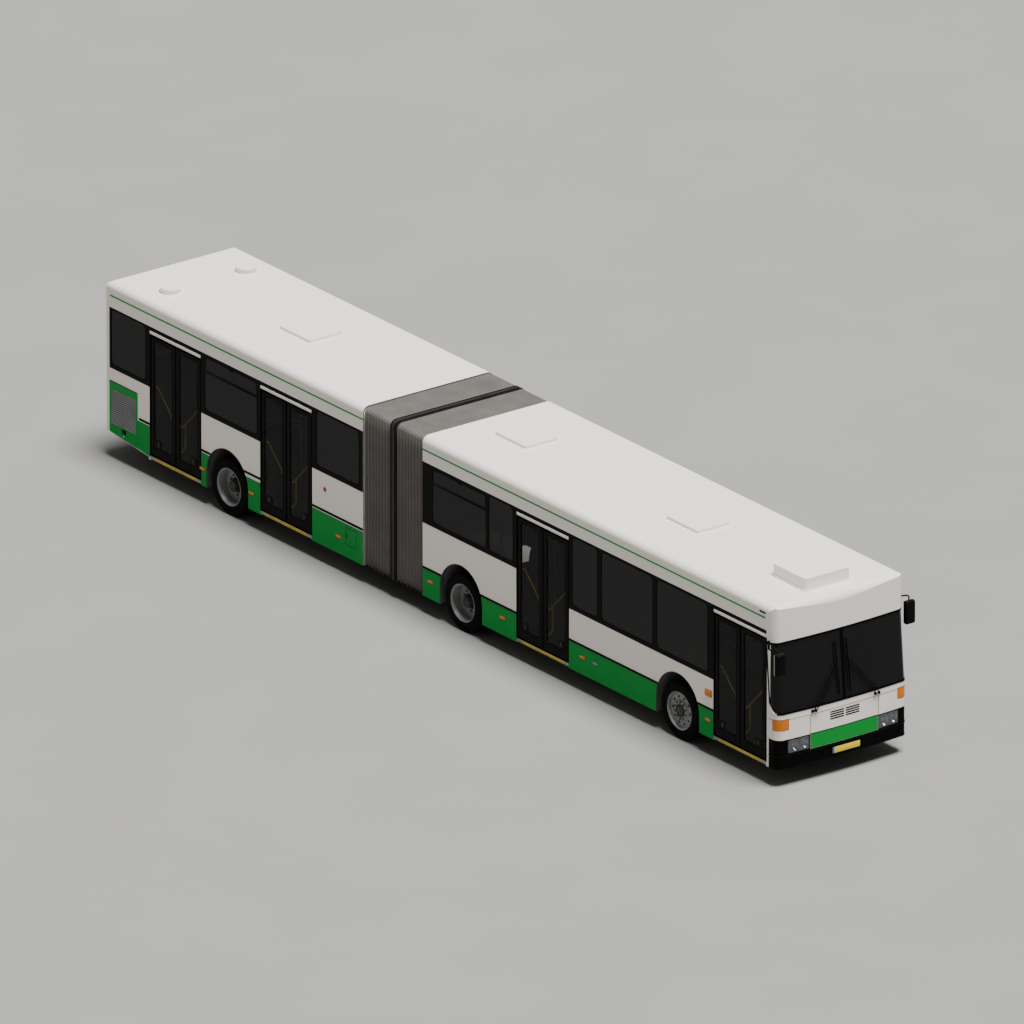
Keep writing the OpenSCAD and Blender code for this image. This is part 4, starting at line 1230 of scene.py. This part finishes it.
# the door side: an upper and a lower arm from a foot on the front post
root = Vector((front_high.x + 0.025, -SIDE - 0.014, 2.395))
tip = Vector((far.x - 0.060, -far.y + 0.095, 2.405))
upper = [root, root + Vector((0.05, -0.03, 0.02)), tip + Vector((-0.08, 0.02, 0.02)), tip]
lower = [root - Vector((0, 0, 0.105)), root + Vector((0.05, -0.03, -0.09)), tip - Vector((0, 0, 0.055))]
parts.append((tube(upper, 0.013), black_frame))
parts.append((tube(lower, 0.010), black_frame))
parts.append((on_right(root.x - 0.020, root.x + 0.017, 2.270, 2.420, 0.024, 0.001, 0.008), black_abs))
# the far side: one arm that turns down into the head
root, tip = Vector((NOSE - 0.390, SIDE + 0.009, 2.500)), Vector((NOSE - 0.330, far.y - 0.095, 2.490))
bend = [root, tip - Vector((0.01, 0.03, 0)), tip - Vector((0, 0, 0.02)), tip - Vector((0, 0, 0.10))]
parts.append((tube(bend, 0.013), black_frame))
parts.append(
    (block((NOSE - 0.420, SIDE - 0.001, 2.460), (NOSE - 0.360, SIDE + 0.012, 2.540), 0.005), black_abs)
)
assemble("mirror_set", "front_section", parts, slot="mirror_black", stands_for=("mirrors",))

# %% [markdown]
# ## Wheels
#
# The tyres are 275 mm wide city-bus tyres, with four grooves round the tread,
# cross cuts at the shoulders and a scuff rib on the sidewall. A tyre is turned on
# a lathe, and one profile serves all ten. The front disc is domed outwards, with
# ten hand holes and ten nuts round a cast hub. Twin wheels have a deep dish,
# because the outer wheel is bolted on back to front against the inner one.

# %% Tyre and nut shapes
TYRE_R, TYRE_W, RIM_R = 0.4785, 0.275, 0.302
TYRE_INSET, TWIN_STEP = 0.030, TYRE_W + 0.045
# the bead and the sidewall above the rim, then the shoulder below the tread, as (radius, depth)
bead = [
    (0.001, 0.020),
    (0.012, 0.006),
    (0.030, 0.001),
    (0.060, 0.0),
    (0.070, 0.0),
    (0.073, 0.003),
    (0.092, 0.003),
    (0.095, 0.001),
]
shoulder = [(0.050, 0.004), (0.030, 0.009), (0.012, 0.016), (0.003, 0.026), (0.0, 0.040)]
half = [(RIM_R + r, depth) for r, depth in bead] + [(TYRE_R - r, depth) for r, depth in shoulder]
for groove in (0.078, 0.115):
    for r, depth in ((0.0, -0.007), (0.012, -0.004), (0.012, 0.004), (0.0, 0.007)):
        half.append((TYRE_R - r, groove + depth))
TYRE_PROFILE = half + [(r, TYRE_W - depth) for r, depth in reversed(half)]


def tyre(x, y, sign):
    """A tyre whose outer sidewall is at y, on the left (sign 1) or the right (-1)."""
    centre = Vector((x, y - sign * TYRE_W, TYRE_R))
    mesh = turned(TYRE_PROFILE, centre, (0, sign, 0), 96)
    lugs, r = [], TYRE_R - 0.0006
    for k in range(48):
        a = 2 * math.pi * (k + 0.5) / 48
        for across in (0.034, TYRE_W - 0.034):
            lug = block((-0.004, -0.020, -0.001), (0.004, 0.020, 0.0005), 0.0)
            spot = Vector((x + r * math.sin(a), centre.y + sign * across, TYRE_R + r * math.cos(a)))
            lug.transform(Matrix.Translation(spot) @ Matrix.Rotation(a, 4, "Y"))
            lugs.append(lug)
    return mesh, lugs


def nuts(x, y, sign, ring, count, size, reach):
    """A ring of wheel nuts standing out from y."""
    found, nut = [], [(0.0, reach), (size * 0.7, reach), (size, reach - 0.004), (size, 0.0)]
    for k in range(count):
        a = 2 * math.pi * (k + 0.5) / count
        spot = (x + ring * math.cos(a), y, TYRE_R + ring * math.sin(a))
        found.append((turned(nut, spot, (0, sign, 0), 6), wheel_hub))
    return found


print("tyre profile has", len(TYRE_PROFILE), "points")

# %% Front discs and twin discs
def circle(radius, cx=0.0, cz=0.0, steps=48):
    """Points round a circle in the side view."""
    angles = [2 * math.pi * k / steps for k in range(steps)]
    return [(cx + radius * math.cos(a), cz + radius * math.sin(a)) for a in angles]


def disc_with_holes(x, y, sign, inner, outer, ring, hole, count, thickness):
    """A flat ring of steel with round hand holes, facing outwards at y."""
    holes = [circle(inner)] + [circle(hole, cx, cz, 20) for cx, cz in circle(ring, steps=count)]
    mesh = plate(circle(outer, steps=72), holes, -thickness / 2, thickness / 2)
    mesh.transform(Matrix.Translation((x, y - sign * thickness / 2, TYRE_R)))
    return mesh


def rim_edge(depth):
    """The profile of a rim's outer lip and barrel, down to a depth behind the outer edge."""
    lip = [(0.002, -0.030), (0.010, -0.008), (0.012, -0.002), (0.008, 0.002), (0.001, 0.0)]
    well = [(-0.008, -0.012), (-0.016, -0.030), (-0.018, -depth), (-0.030, -depth)]
    return [(RIM_R + r, along_y) for r, along_y in lip + well]


def barrel(start, deep):
    """The profile of the rim's inner side, from a start depth to the inner tyre's far sidewall."""
    points = [(-0.018, -start), (-0.018, -deep + 0.02), (0.010, -deep + 0.004), (0.004, -deep + 0.030)]
    return [(RIM_R + r, along_y) for r, along_y in points]


def lathe(x, face, sign, rows):
    """Turned wheel parts round the wheel's axis, from rows of (profile, steps, material)."""
    return [
        (turned(profile, (x, face, TYRE_R), (0, sign, 0), steps), material)
        for profile, steps, material in rows
    ]


def front_wheel(x, sign):
    """Rim parts of a steered wheel."""
    face = sign * (SIDE - TYRE_INSET)
    parts = lathe(x, face, sign, [(rim_edge(0.055), 72, wheel_silver)])
    disc = disc_with_holes(x, face - sign * 0.046, sign, 0.120, RIM_R - 0.016, 0.222, 0.023, 10, 0.012)
    parts.append((disc, wheel_silver))
    dome = [(0.185, -0.050), (0.172, -0.034), (0.150, -0.024), (0.118, -0.020), (0.112, -0.020)]
    hub = [
        (0.0, -0.002),
        (0.060, -0.002),
        (0.072, -0.006),
        (0.080, -0.014),
        (0.084, -0.030),
        (0.116, -0.032),
        (0.116, -0.060),
    ]
    parts += lathe(x, face, sign, [(dome, 64, wheel_silver), (hub, 48, wheel_hub)])
    parts += nuts(x, face - sign * 0.024, sign, 0.140, 10, 0.016, 0.020)
    return parts + lathe(x, face, sign, [(barrel(0.050, TYRE_W), 64, wheel_silver)])


def twin_wheel(x, sign):
    """Rim parts of a deep-dished twin wheel."""
    face = sign * (SIDE - TYRE_INSET)
    dish = [(RIM_R - 0.022, -0.165), (RIM_R - 0.060, -0.176), (0.130, -0.178), (0.120, -0.178)]
    hub = [
        (0.0, -0.062),
        (0.070, -0.062),
        (0.084, -0.068),
        (0.096, -0.084),
        (0.104, -0.120),
        (0.112, -0.165),
        (0.135, -0.168),
        (0.135, -0.185),
    ]
    parts = lathe(x, face, sign, [(rim_edge(0.150)[:-1] + dish, 72, wheel_silver), (hub, 48, wheel_hub)])
    parts += nuts(x, face - sign * 0.178, sign, 0.168, 10, 0.016, 0.026)
    parts += nuts(x, face - sign * 0.062, sign, 0.052, 8, 0.007, 0.008)
    return parts + lathe(x, face, sign, [(barrel(0.160, TYRE_W + TWIN_STEP), 64, wheel_silver)])


for place, x in AXLES.items():
    for hand, sign in (("left", 1), ("right", -1)):
        body, rubber = f"wheel_{place}_{hand}", []
        for step in (0.0,) if place == "front" else (0.0, TWIN_STEP):
            mesh, lugs = tyre(x, sign * (SIDE - TYRE_INSET - step), sign)
            rubber += [(mesh, tyre_rubber)] + [(lug, seal_rubber) for lug in lugs]
        assemble(f"tyres_{place}_{hand}", body, rubber, slot="tyre", stands_for=(f"tyre_{place}_{hand}",))
        rim = front_wheel(x, sign) if place == "front" else twin_wheel(x, sign)
        assemble(
            f"wheel_disc_{place}_{hand}", body, rim, slot="rim_silver", stands_for=(f"rim_{place}_{hand}",)
        )

# %% [markdown]
# ## Doors
#
# Each doorway has two leaves that swing inwards on columns. A leaf is a black
# aluminium frame round a tall tinted pane, with a soft rubber edge where the two
# leaves meet. Inside, two yellow grab rails follow the slope of a stepping
# passenger's hand, and a small black box in the lower corner covers the lower
# bearing.

# %% Door leaves
LEAF_GAP, LEAF_END = 0.032, 0.671


def door_leaf(k, place):
    """One leaf, drawn from its hinge side and mirrored for the front leaf."""
    low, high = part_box(f"leaf_{k}_{place}")
    start, way = (low.x, 1) if place == "rear" else (high.x, -1)

    def px(distance):
        return start + way * (distance - LEAF_GAP)

    def area(a, z0, b, z1, r=0.0):
        return rounded(min(px(a), px(b)), z0, max(px(a), px(b)), z1, r)

    def bar(a, b, y0, y1, z0, z1, bevel, segments=2):
        left, right = sorted((px(a), px(b)))
        return block((left, y0, z0), (right, y1, z1), bevel, segments)

    y_out, y_in, top = low.y, low.y + 0.034, high.z
    y_rail = y_in + 0.030
    opening = area(0.098, 0.541, 0.579, 2.345, 0.020)
    seal = area(0.094, 0.537, 0.583, 2.349, 0.022), [area(0.104, 0.547, 0.573, 2.339, 0.016)]
    parts = [
        (plate(area(LEAF_GAP, low.z, LEAF_END - 0.012, top, 0.004), [opening], y_out, y_in), black_frame),
        (plate(*seal, y_out - 0.0015, y_out + 0.012), seal_rubber),
        (plate(area(0.099, 0.542, 0.578, 2.344, 0.018), [], y_out + 0.007, y_out + 0.013), door_glass),
    ]
    # the soft edge, then the cover in the lower corner on the hinge side and its knob
    edge = bar(
        LEAF_END - 0.016, LEAF_END - 0.001, y_out + 0.002, y_in - 0.002, low.z + 0.002, top - 0.002, 0.008, 3
    )
    parts.append((edge, seal_rubber))
    parts.append((bar(0.098, 0.283, y_out + 0.003, y_in - 0.001, 0.541, 0.682, 0.010, 3), black_abs))
    parts.append((bar(0.200, 0.235, y_out - 0.001, y_out + 0.006, 0.575, 0.655, 0.004), chassis_paint))
    # grab rails on the inner face, as (distance, y, z)
    diagonal = [(0.104, y_in, 1.560), (0.112, y_rail, 1.552), (0.565, y_rail, 1.090), (0.575, y_in, 1.080)]
    upright = [
        (0.504, y_in, 1.150),
        (0.504, y_rail, 1.140),
        (0.504, y_rail, 0.770),
        (0.572, y_rail, 0.668),
        (0.577, y_in, 0.660),
    ]
    for rail in (diagonal, upright):
        parts.append((tube([(px(distance), y, z) for distance, y, z in rail], 0.013), rail_yellow))
    # the two brackets that hang on the arms
    for z0 in (low.z, top - 0.028):
        parts.append((bar(0.310, 0.350, y_in - 0.001, high.y, z0, z0 + 0.028, 0.003), chassis_paint))
    name = f"door_{k}_leaf_{place}"
    assemble(name, name, parts, slot="door_black", stands_for=(f"leaf_{k}_{place}",))


for k in (1, 2, 3, 4):
    for place in ("rear", "front"):
        door_leaf(k, place)

# %% [markdown]
# ## Bellows
#
# The bellows is a long strip of coated cloth clamped into folds, which lets one
# section turn 45 degrees against the other. Each half, before and behind the hoop,
# has nine folds about 40 mm deep over the sides and the roof. Each fold is a
# smooth wave, a little sharper at its outer edge where the cloth is clamped in a
# thin aluminium strip.

# %% Folded cloth
bellows_low, bellows_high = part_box("bellows")
hoop_low, hoop_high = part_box("bellows_hoop")
FOLD, FOLDS, EDGE_R = 0.040, 9, 0.109


def arch_line():
    """Points (y, z, outward direction) over the bellows, from the right skirt to the left one."""
    half, top, low = bellows_high.y - EDGE_R, bellows_high.z - EDGE_R, bellows_low.z
    angles = [math.pi / 2 * k / 8 for k in range(1, 9)]
    up = [(-bellows_high.y, low + (top - low) * k / 16, (-1.0, 0.0)) for k in range(17)]
    up += [
        (-half - EDGE_R * math.cos(a), top + EDGE_R * math.sin(a), (-math.cos(a), math.sin(a)))
        for a in angles
    ]
    over = [(-half + 2 * half * k / 16, bellows_high.z, (0.0, 1.0)) for k in range(1, 16)]
    return up + over + [(-y, z, (-ny, nz)) for y, z, (ny, nz) in reversed(up)]


def folded(x0, x1):
    """Cloth in folds from x0 to x1."""
    rows, stations = [], FOLDS * 8
    for i in range(stations + 1):
        t = i / stations
        wave = abs(math.cos(math.pi * FOLDS * t)) ** 0.8
        depth = FOLD * wave + 0.002
        row = []
        for y, z, (ny, nz) in arch_line():
            # the lower edge follows the folds up a little
            lift = 0.045 * wave if z <= bellows_low.z + 1e-6 else 0.0
            row.append((x0 + (x1 - x0) * t, y - ny * depth, z - nz * depth + lift))
        rows.append(row)
    return sheet(rows, 0.003)


# the hoop turns half as far as the rear section; each half of the cloth ends at one face of the hoop
before, behind = hoop_high.x + 0.0005, hoop_low.x - 0.0005
cloth = {"slot": "bellows_grey", "smooth": 60, "rides": False}
parts = [(folded(bellows_high.x, before), bellows_cloth)]
front_half = assemble("bellows_cloth_front", "front_section", parts, stands_for=("bellows",), **cloth)
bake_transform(front_half)
parts = [(folded(behind, bellows_low.x), bellows_cloth)]
rear_half = assemble("bellows_cloth_rear", "rear_section", parts, **cloth)
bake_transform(rear_half)

# %% Clamp frames and the hoop's edge strips
def over_arch(x0, x1, out, thick):
    """A strip that follows the bellows' outline, `out` proud of it."""
    return sheet(
        [[(x, y + ny * out, z + nz * out) for y, z, (ny, nz) in arch_line()] for x in (x0, x1)], thick
    )


strips = [(hoop_low.x + 0.006, hoop_low.x + 0.030), (hoop_high.x - 0.030, hoop_high.x - 0.006)]
assemble("hoop_strips", "hoop", [(over_arch(x0, x1, 0.0085, 0.004), black_frame) for x0, x1 in strips])
for body, x0 in (("front_section", bellows_high.x - 0.008), ("rear_section", bellows_low.x - 0.010)):
    assemble(f"bellows_clamp_{body}", body, [(over_arch(x0, x0 + 0.018, 0.002, 0.006), chassis_paint)])

# %% [markdown]
# ## The tail
#
# The back is not decorated much: a wide rear window, a lamp cluster in each
# corner, an engine door with louvres and a number plate under it. The engine door
# moves on its own hinge, so its louvres and its green lower half ride on the lid
# and not on the tail. Each lamp cluster holds tail, brake, indicator and reversing
# lamps, here as a red, an amber and a clear lens in a black rubber surround.

# %% Rear lamps, rear window seal and plate
lamp_low, lamp_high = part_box("rear_lamps")


def on_tail(outer, holes, out0, out1):
    """A plate on the tail, drawn as (y, z) and laid between two distances behind its face."""
    mesh = plate(outer, holes, out0, out1)
    mesh.transform(Matrix.Translation((TAIL, 0, 0)) @ Matrix.Rotation(math.radians(-90), 4, "Z"))
    return mesh


quarter_turn = Matrix.Rotation(math.radians(-90), 4, "Z")
y0, y1, z0, z1 = 1.017, lamp_high.y - 0.002, lamp_low.z, lamp_high.z
heights = [(z0, z0 + 0.14, clear_lens), (z0 + 0.14, z0 + 0.34, amber_lens), (z0 + 0.34, z1, red_lens)]
parts = []
for left, right in ((-y1, -y0), (y0, y1)):
    for a, b, material in heights:
        lamp = rounded(-right + 0.004, a + 0.004, -left - 0.004, b - 0.004, 0.012)
        parts.append((on_tail(lamp, [], -0.001, 0.007), material))
    surround = border(-right - 0.010, z0 - 0.010, -left + 0.010, z1 + 0.010, 0.02, 0.013, 0.012)
    parts.append((on_tail(*surround, -0.001, 0.005), seal_rubber))
window_seal = border(-0.962, 1.608, 0.962, 2.452, 0.10, 0.022, 0.080)
parts.append((on_tail(*window_seal, -0.006, 0.004), seal_rubber))
# the number plate and its blue end
PLATE_LOW, PLATE_HIGH = 0.463, 0.556
parts.append((on_tail(rounded(-0.26, PLATE_LOW, 0.26, PLATE_HIGH, 0.006), [], 0.0, 0.008), plate_yellow))
parts.append((on_tail(rounded(0.222, PLATE_LOW, 0.26, PLATE_HIGH, 0.003), [], 0.0, 0.009), plate_blue))
assemble("tail_trim", "rear_section", parts)

lid_low, lid_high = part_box("engine_door")
left, right = lid_low.y + 0.002, lid_high.y - 0.002
lower_half = rounded(left, lid_low.z + 0.002, right, REAR_TOP, 0.004)
rail = rounded(left, REAR_TOP + 0.012, right, REAR_TOP + 0.036, 0.004)
parts = [
    (on_tail(lower_half, [], -0.0005, 0.0015), enamels["green"]),
    (on_tail(rail, [], -0.0005, 0.005), seal_rubber),
]
LOUVRES, LOUVRE_LOW, LOUVRE_STEP = 12, 0.980, 0.032
for k in range(LOUVRES):
    z = LOUVRE_LOW + LOUVRE_STEP * k
    for a, b in ((-0.78, -0.04), (0.04, 0.78)):
        slat = block((a, -0.002, -0.013), (b, 0.002, 0.013), 0.001)
        tilt = Matrix.Rotation(math.radians(28), 4, "X")
        slat.transform(Matrix.Translation((TAIL - 0.006, 0, z)) @ quarter_turn @ tilt)
        parts.append((slat, enamels["white"]))
        # behind each louvre a black strip is painted shade: it stands for the dark opening under the slat
        parts.append((on_tail(rounded(a, z - 0.006, b, z + 0.008), [], -0.0005, 0.001), seal_rubber))
parts.append((block((TAIL - 0.014, -0.09, 0.640), (TAIL - 0.001, 0.09, 0.680), 0.006, 3), black_abs))
assemble("engine_door_trim", "engine_lid", parts)

# %% [markdown]
# ## Roof hatches and vents
#
# The roof hatches are plain pressed lids and keep their CAD shape. The two round
# lids over the engine bay are ventilators with a slightly domed cap. The box near
# the front is closed, with one seam where its cover meets the base.

# %% Ventilator caps and the roof box's seam
cap = [(0.0, 0.004), (0.120, 0.003), (0.155, -0.003), (0.172, -0.014), (0.174, -0.030), (0.170, -0.032)]
parts = []
for y in (-0.745, 0.745):
    centre = (behind_nose(16.570), y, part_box("rear_roof")[1].z)
    parts.append((turned(cap, centre, (0, 0, 1), 48), enamels["white"]))
assemble("vent_caps", "rear_section", parts)

unit_low, unit_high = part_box("roof_unit")
edge = border(unit_low.x + 0.018, -0.442, unit_high.x - 0.018, 0.442, 0.06, 0.008, 0.056)
seam = plate(*edge, 0.0, 0.003)
seam.transform(Matrix.Translation((0, 0, ROOF + 0.027)) @ Matrix.Rotation(math.radians(-90), 4, "X"))
assemble("roof_unit_seam", "front_section", [(seam, seal_rubber)])

# %% [markdown]
# ## Seat pads
#
# Each seat has a thin foam pad on the seat and one on the back, covered in
# moquette. A pad is fullest in its middle and pinches down to a welted edge, so it
# is made as a closed crowned form: its height falls off with a high power towards
# the edges, and it is flat where it rests on the shell.

# %% Crowned pads
def pad(width, length, height, welt=0.006):
    """A crowned pad lying on z = 0, x along its length and y along its width."""
    n, shape, rows = 14, bmesh.new(), {}
    for layer in (0, 1):
        for i in range(n + 1):
            for j in range(n + 1):
                u, v = 2 * i / n - 1, 2 * j / n - 1
                pull = 1 - 0.035 * (1 - abs(u * v) ** 2) * (abs(u) ** 6 + abs(v) ** 6) / 2
                crown = (1 - abs(u) ** 4) ** 0.6 * (1 - abs(v) ** 4) ** 0.6
                seam = 0.10 * math.exp(-((abs(v) - 0.55) / 0.05) ** 2) * crown
                z = welt + (height - welt) * (crown - seam) if layer else welt * 0.5 * (1 - crown)
                rows[layer, i, j] = shape.verts.new((u * length / 2 * pull, v * width / 2 * pull, z))
    for i in range(n):
        for j in range(n):
            shape.faces.new([rows[1, a, b] for a, b in ((i, j), (i + 1, j), (i + 1, j + 1), (i, j + 1))])
            shape.faces.new([rows[0, a, b] for a, b in ((i, j), (i, j + 1), (i + 1, j + 1), (i + 1, j))])
    rim = [(i, 0) for i in range(n)] + [(n, j) for j in range(n)]
    rim += [(n - i, n) for i in range(n)] + [(0, n - j) for j in range(n)]
    for (a, b), (c, d) in zip(rim, rim[1:] + rim[:1]):
        shape.faces.new([rows[0, a, b], rows[0, c, d], rows[1, c, d], rows[1, a, b]])
    return finished(shape)


def seat_pads(x, y, z):
    """Pads for one place: x is the back of the seat's back, y the middle of the place, z the floor."""
    squab = pad(0.400, 0.385, 0.035)
    squab.transform(Matrix.Translation((x + 0.285, y, z + 0.4505)))
    rest = pad(0.390, 0.500, 0.032)
    lean = math.atan2(0.055, 0.550)
    upright = Matrix.Rotation(-lean, 4, "Y") @ Matrix.Rotation(math.radians(90), 4, "Y")
    rest.transform(Matrix.Translation((x + 0.0805, y, z + 0.735)) @ upright)
    return squab, rest


FLOOR = 0.375
y_left, y_right = SIDE - 0.05 - 0.890, -SIDE + 0.05 + 0.010
rows = {
    "front_section": [(AXLES["middle"] + 0.640 + 0.8 * k, y_left) for k in range(5)]
    + [(AXLES["front"] - 2.450 + 0.85 * k, y_right) for k in range(2)],
    "rear_section": [(AXLES["rear"] + 0.720 + 0.8 * k, y_left) for k in range(3)]
    + [(rear_high.x - 0.900, y_right)]
    + [(TAIL + 1.120 + 0.78 * k, y_left) for k in range(2)],
}
for body, starts in rows.items():
    places = [(x, y + place, FLOOR) for x, y in starts for place in (0.220, 0.660)]
    if body == "front_section":
        # the driver's seat, on its platform
        places.append((AXLES["front"] + 1.150, 0.560 + 0.220, 0.600))
    squabs, rests = zip(*(seat_pads(*place) for place in places))
    assemble(f"seat_pads_{body}", body, [(m, moquette) for m in squabs], smooth=60)
    assemble(f"back_pads_{body}", body, [(m, moquette) for m in rests], smooth=60)

# %% [markdown]
# ## Grab poles
#
# Yellow poles run from floor to ceiling beside the doors and along the aisle, with
# a rail under the ceiling. They show faintly through the glass and make the saloon
# read as a place to stand in.

# %% Poles and ceiling rails
CEILING, RAIL_Z, POLE_Y, FAR_Y = 2.934, 2.10, -0.34, 0.32
for body, poles, x0, x1 in (
    ("front_section", [3.40, 5.40, 1.60, 0.20], 0.0, 6.40),
    ("rear_section", [-3.30, -5.05, -6.25], -7.50, -2.60),
):
    lines = [((x, POLE_Y, FLOOR), (x, POLE_Y, CEILING), 0.016) for x in poles]
    lines += [((x0, y, RAIL_Z), (x1, y, RAIL_Z), 0.016) for y in (POLE_Y, FAR_Y)]
    lines += [((x, FAR_Y, RAIL_Z), (x, FAR_Y, CEILING), 0.012) for x in (x0 + 0.1, (x0 + x1) / 2, x1 - 0.1)]
    rails = [(tube([start, end], radius), rail_yellow) for start, end, radius in lines]
    assemble(f"grab_rails_{body}", body, rails)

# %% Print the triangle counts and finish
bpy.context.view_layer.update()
triangles = {
    o.name: sum(len(p.vertices) - 2 for p in o.data.polygons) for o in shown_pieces() if o.type == "MESH"
}
print(
    "largest pieces:", sorted(triangles.items(), key=lambda row: -row[1])[:5], "all:", sum(triangles.values())
)
